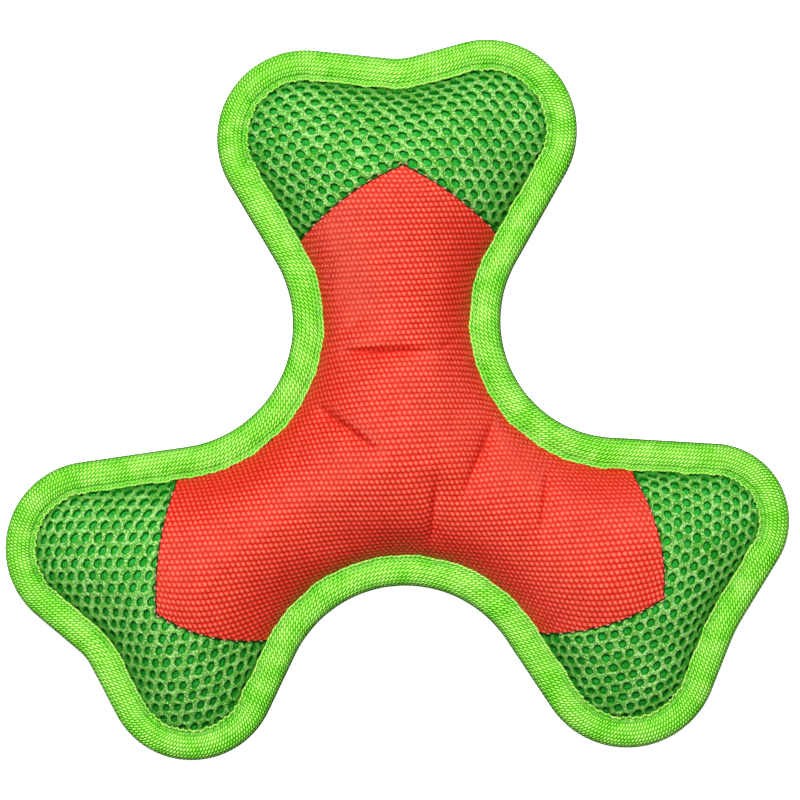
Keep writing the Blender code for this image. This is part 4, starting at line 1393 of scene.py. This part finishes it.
def build_squeaker(finishes):
    """The squeaker's visible pieces, by the plain node that each stands for."""
    inner = BULB_RADIUS - BULB_WALL
    floor = BULB_BOTTOM + BULB_WALL
    cup = rounded([
        (BULB_RADIUS, BASE_RIM), (BULB_RADIUS, BULB_BOTTOM + 2), (BULB_RADIUS - 2, BULB_BOTTOM),
        (COLLAR_RADIUS, BULB_BOTTOM), (COLLAR_RADIUS, COLLAR_TOP), (COLLAR_RADIUS + BULB_WALL, COLLAR_TOP),
        (COLLAR_RADIUS + BULB_WALL, floor), (inner - 1.6, floor), (inner, floor + 1.6),
        (inner, BASE_RIM)], 0.35)
    waist = (CROWN_RIM + BASE_RIM) / 2
    span = (CROWN_RIM - BASE_RIM - 2 * CLEARANCE) / 2
    bellows = [(BULB_RADIUS + BELLOWS_BULGE * math.cos(math.pi / 2 * t) ** 0.8, waist - span * t)
               for t in np.linspace(-1, 1, 13)]
    within = [(radius - BULB_WALL, height) for radius, height in bellows[::-1]]
    outside = dome(BULB_RADIUS, CROWN_RIM, BULB_TOP)
    hollow = dome(inner, CROWN_RIM, BULB_TOP - BULB_WALL)
    foot = BULB_BOTTOM - CLEARANCE
    barrel = COLLAR_RADIUS - CLEARANCE
    housing = rounded([
        (barrel, BARREL_TOP), (barrel, foot), (BARREL_FLANGE, foot), (BARREL_FLANGE, foot - 0.6),
        (BARREL_BORE, foot - 0.6), (BARREL_BORE, BARREL_TOP)], 0.2)
    bulb, reed = finishes["bulb"], finishes["reed"]
    return {
        "squeaker_base": turned("squeaker_cup", cup, bulb),
        "squeaker_wall": turned("squeaker_bellows", bellows + within, bulb),
        "squeaker_crown": turned("squeaker_dome", outside + hollow[::-1], bulb, closed=False),
        "squeaker_reed_barrel": turned("reed_housing", housing, reed, steps=72)}


# ---- assembly

def show(piece, body, slot, *nodes):
    """Puts a piece on its body and hides the plain nodes that it stands for; the slot is not used."""
    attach(piece, body)
    if nodes:
        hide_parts(*nodes)


def nylon_cloth(cover, outline):
    """The flat cloth of a nylon panel: the hub and the arms, to a little past the chevrons."""
    def keep(plan):
        past = np.max([beyond_seam(arm, plan) for arm in SEAMS], axis=0)
        return (outline.nearest(plan)[0] > MAP_INSET["nylon"]) & (past < MAP_OVERLAP["nylon"])
    return FlatCloth(cover, keep)


def cap_cloth(cover, outline, arm):
    """The flat cloth of a mesh cap: the arm's end, from a little inside its chevron."""
    def keep(plan):
        past = beyond_seam(arm, plan)
        return (outline.nearest(plan)[0] > MAP_INSET["mesh"]) & (past > -MAP_OVERLAP["mesh"])
    return FlatCloth(cover, keep)


def add_covers(side, cover, outline, finishes):
    panel = build_nylon(side, cover, nylon_cloth(cover, outline), outline, finishes["nylon"])
    show(panel, "toy", "red_nylon", f"{side}_centre_panel")
    stitches = build_binding_stitches(side, outline, finishes["lime_thread"])
    show(stitches, "toy", "lime_thread", f"binding_stitch_{side}")
    liner = build_liner(side, cover, outline, finishes["liner"])
    show(liner, "toy", "liner_cloth", f"{side}_liner")
    for arm in SEAMS:
        cap = build_mesh_cap(side, arm, cover, cap_cloth(cover, outline, arm), outline, finishes["mesh"])
        show(cap, "toy", "green_mesh", f"{side}_cap_{arm}")
        backing = build_backing(side, arm, cover, outline, finishes["backing"])
        show(backing, "toy", "green_mesh")
        seam = build_seam_stitches(side, arm, cover, finishes["red_thread"])
        show(seam, "toy", "red_thread", f"{side}_seam_thread_{arm}")


def add_filling(frame, covers, finish):
    for node in ("arm_fill_top", "arm_fill_left", "arm_fill_right", "hub_fill_front", "hub_fill_back"):
        wad = build_wad(node.replace("fill", "wad"), node, finish, frame, covers)
        show(wad, "toy", "fibre", node)
        if node == "hub_fill_front":
            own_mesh(wad)


def add_squeaker(frame, finishes):
    for node, piece in build_squeaker(finishes).items():
        body = "crown" if node == "squeaker_crown" else "toy"
        show(piece, body, "reed_plastic" if "reed" in node else "bulb_plastic", node)
        if node == "squeaker_wall":
            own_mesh(piece)
    for node in ("squeaker_reed_holder", "squeaker_reed"):
        frame["nodes"][node].data.materials.clear()
        frame["nodes"][node].data.materials.append(finishes["reed"])


def main():
    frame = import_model()
    build_camera()
    build_floor()
    build_lights()
    outline = Outline()
    film = soap_film(outline)
    tape_pitch = outline.length / round(outline.length / TAPE_PITCH)
    finishes = make_finishes(tape_pitch)
    show(build_binding(outline, finishes["tape"], tape_pitch), "toy", "lime_tape", "edge_binding")
    covers = [Cover(outline, film, front) for front in (True, False)]
    for side, cover in zip(("front", "back"), covers):
        add_covers(side, cover, outline, finishes)
    add_filling(frame, covers, finishes["fibre"])
    add_squeaker(frame, finishes)


main()
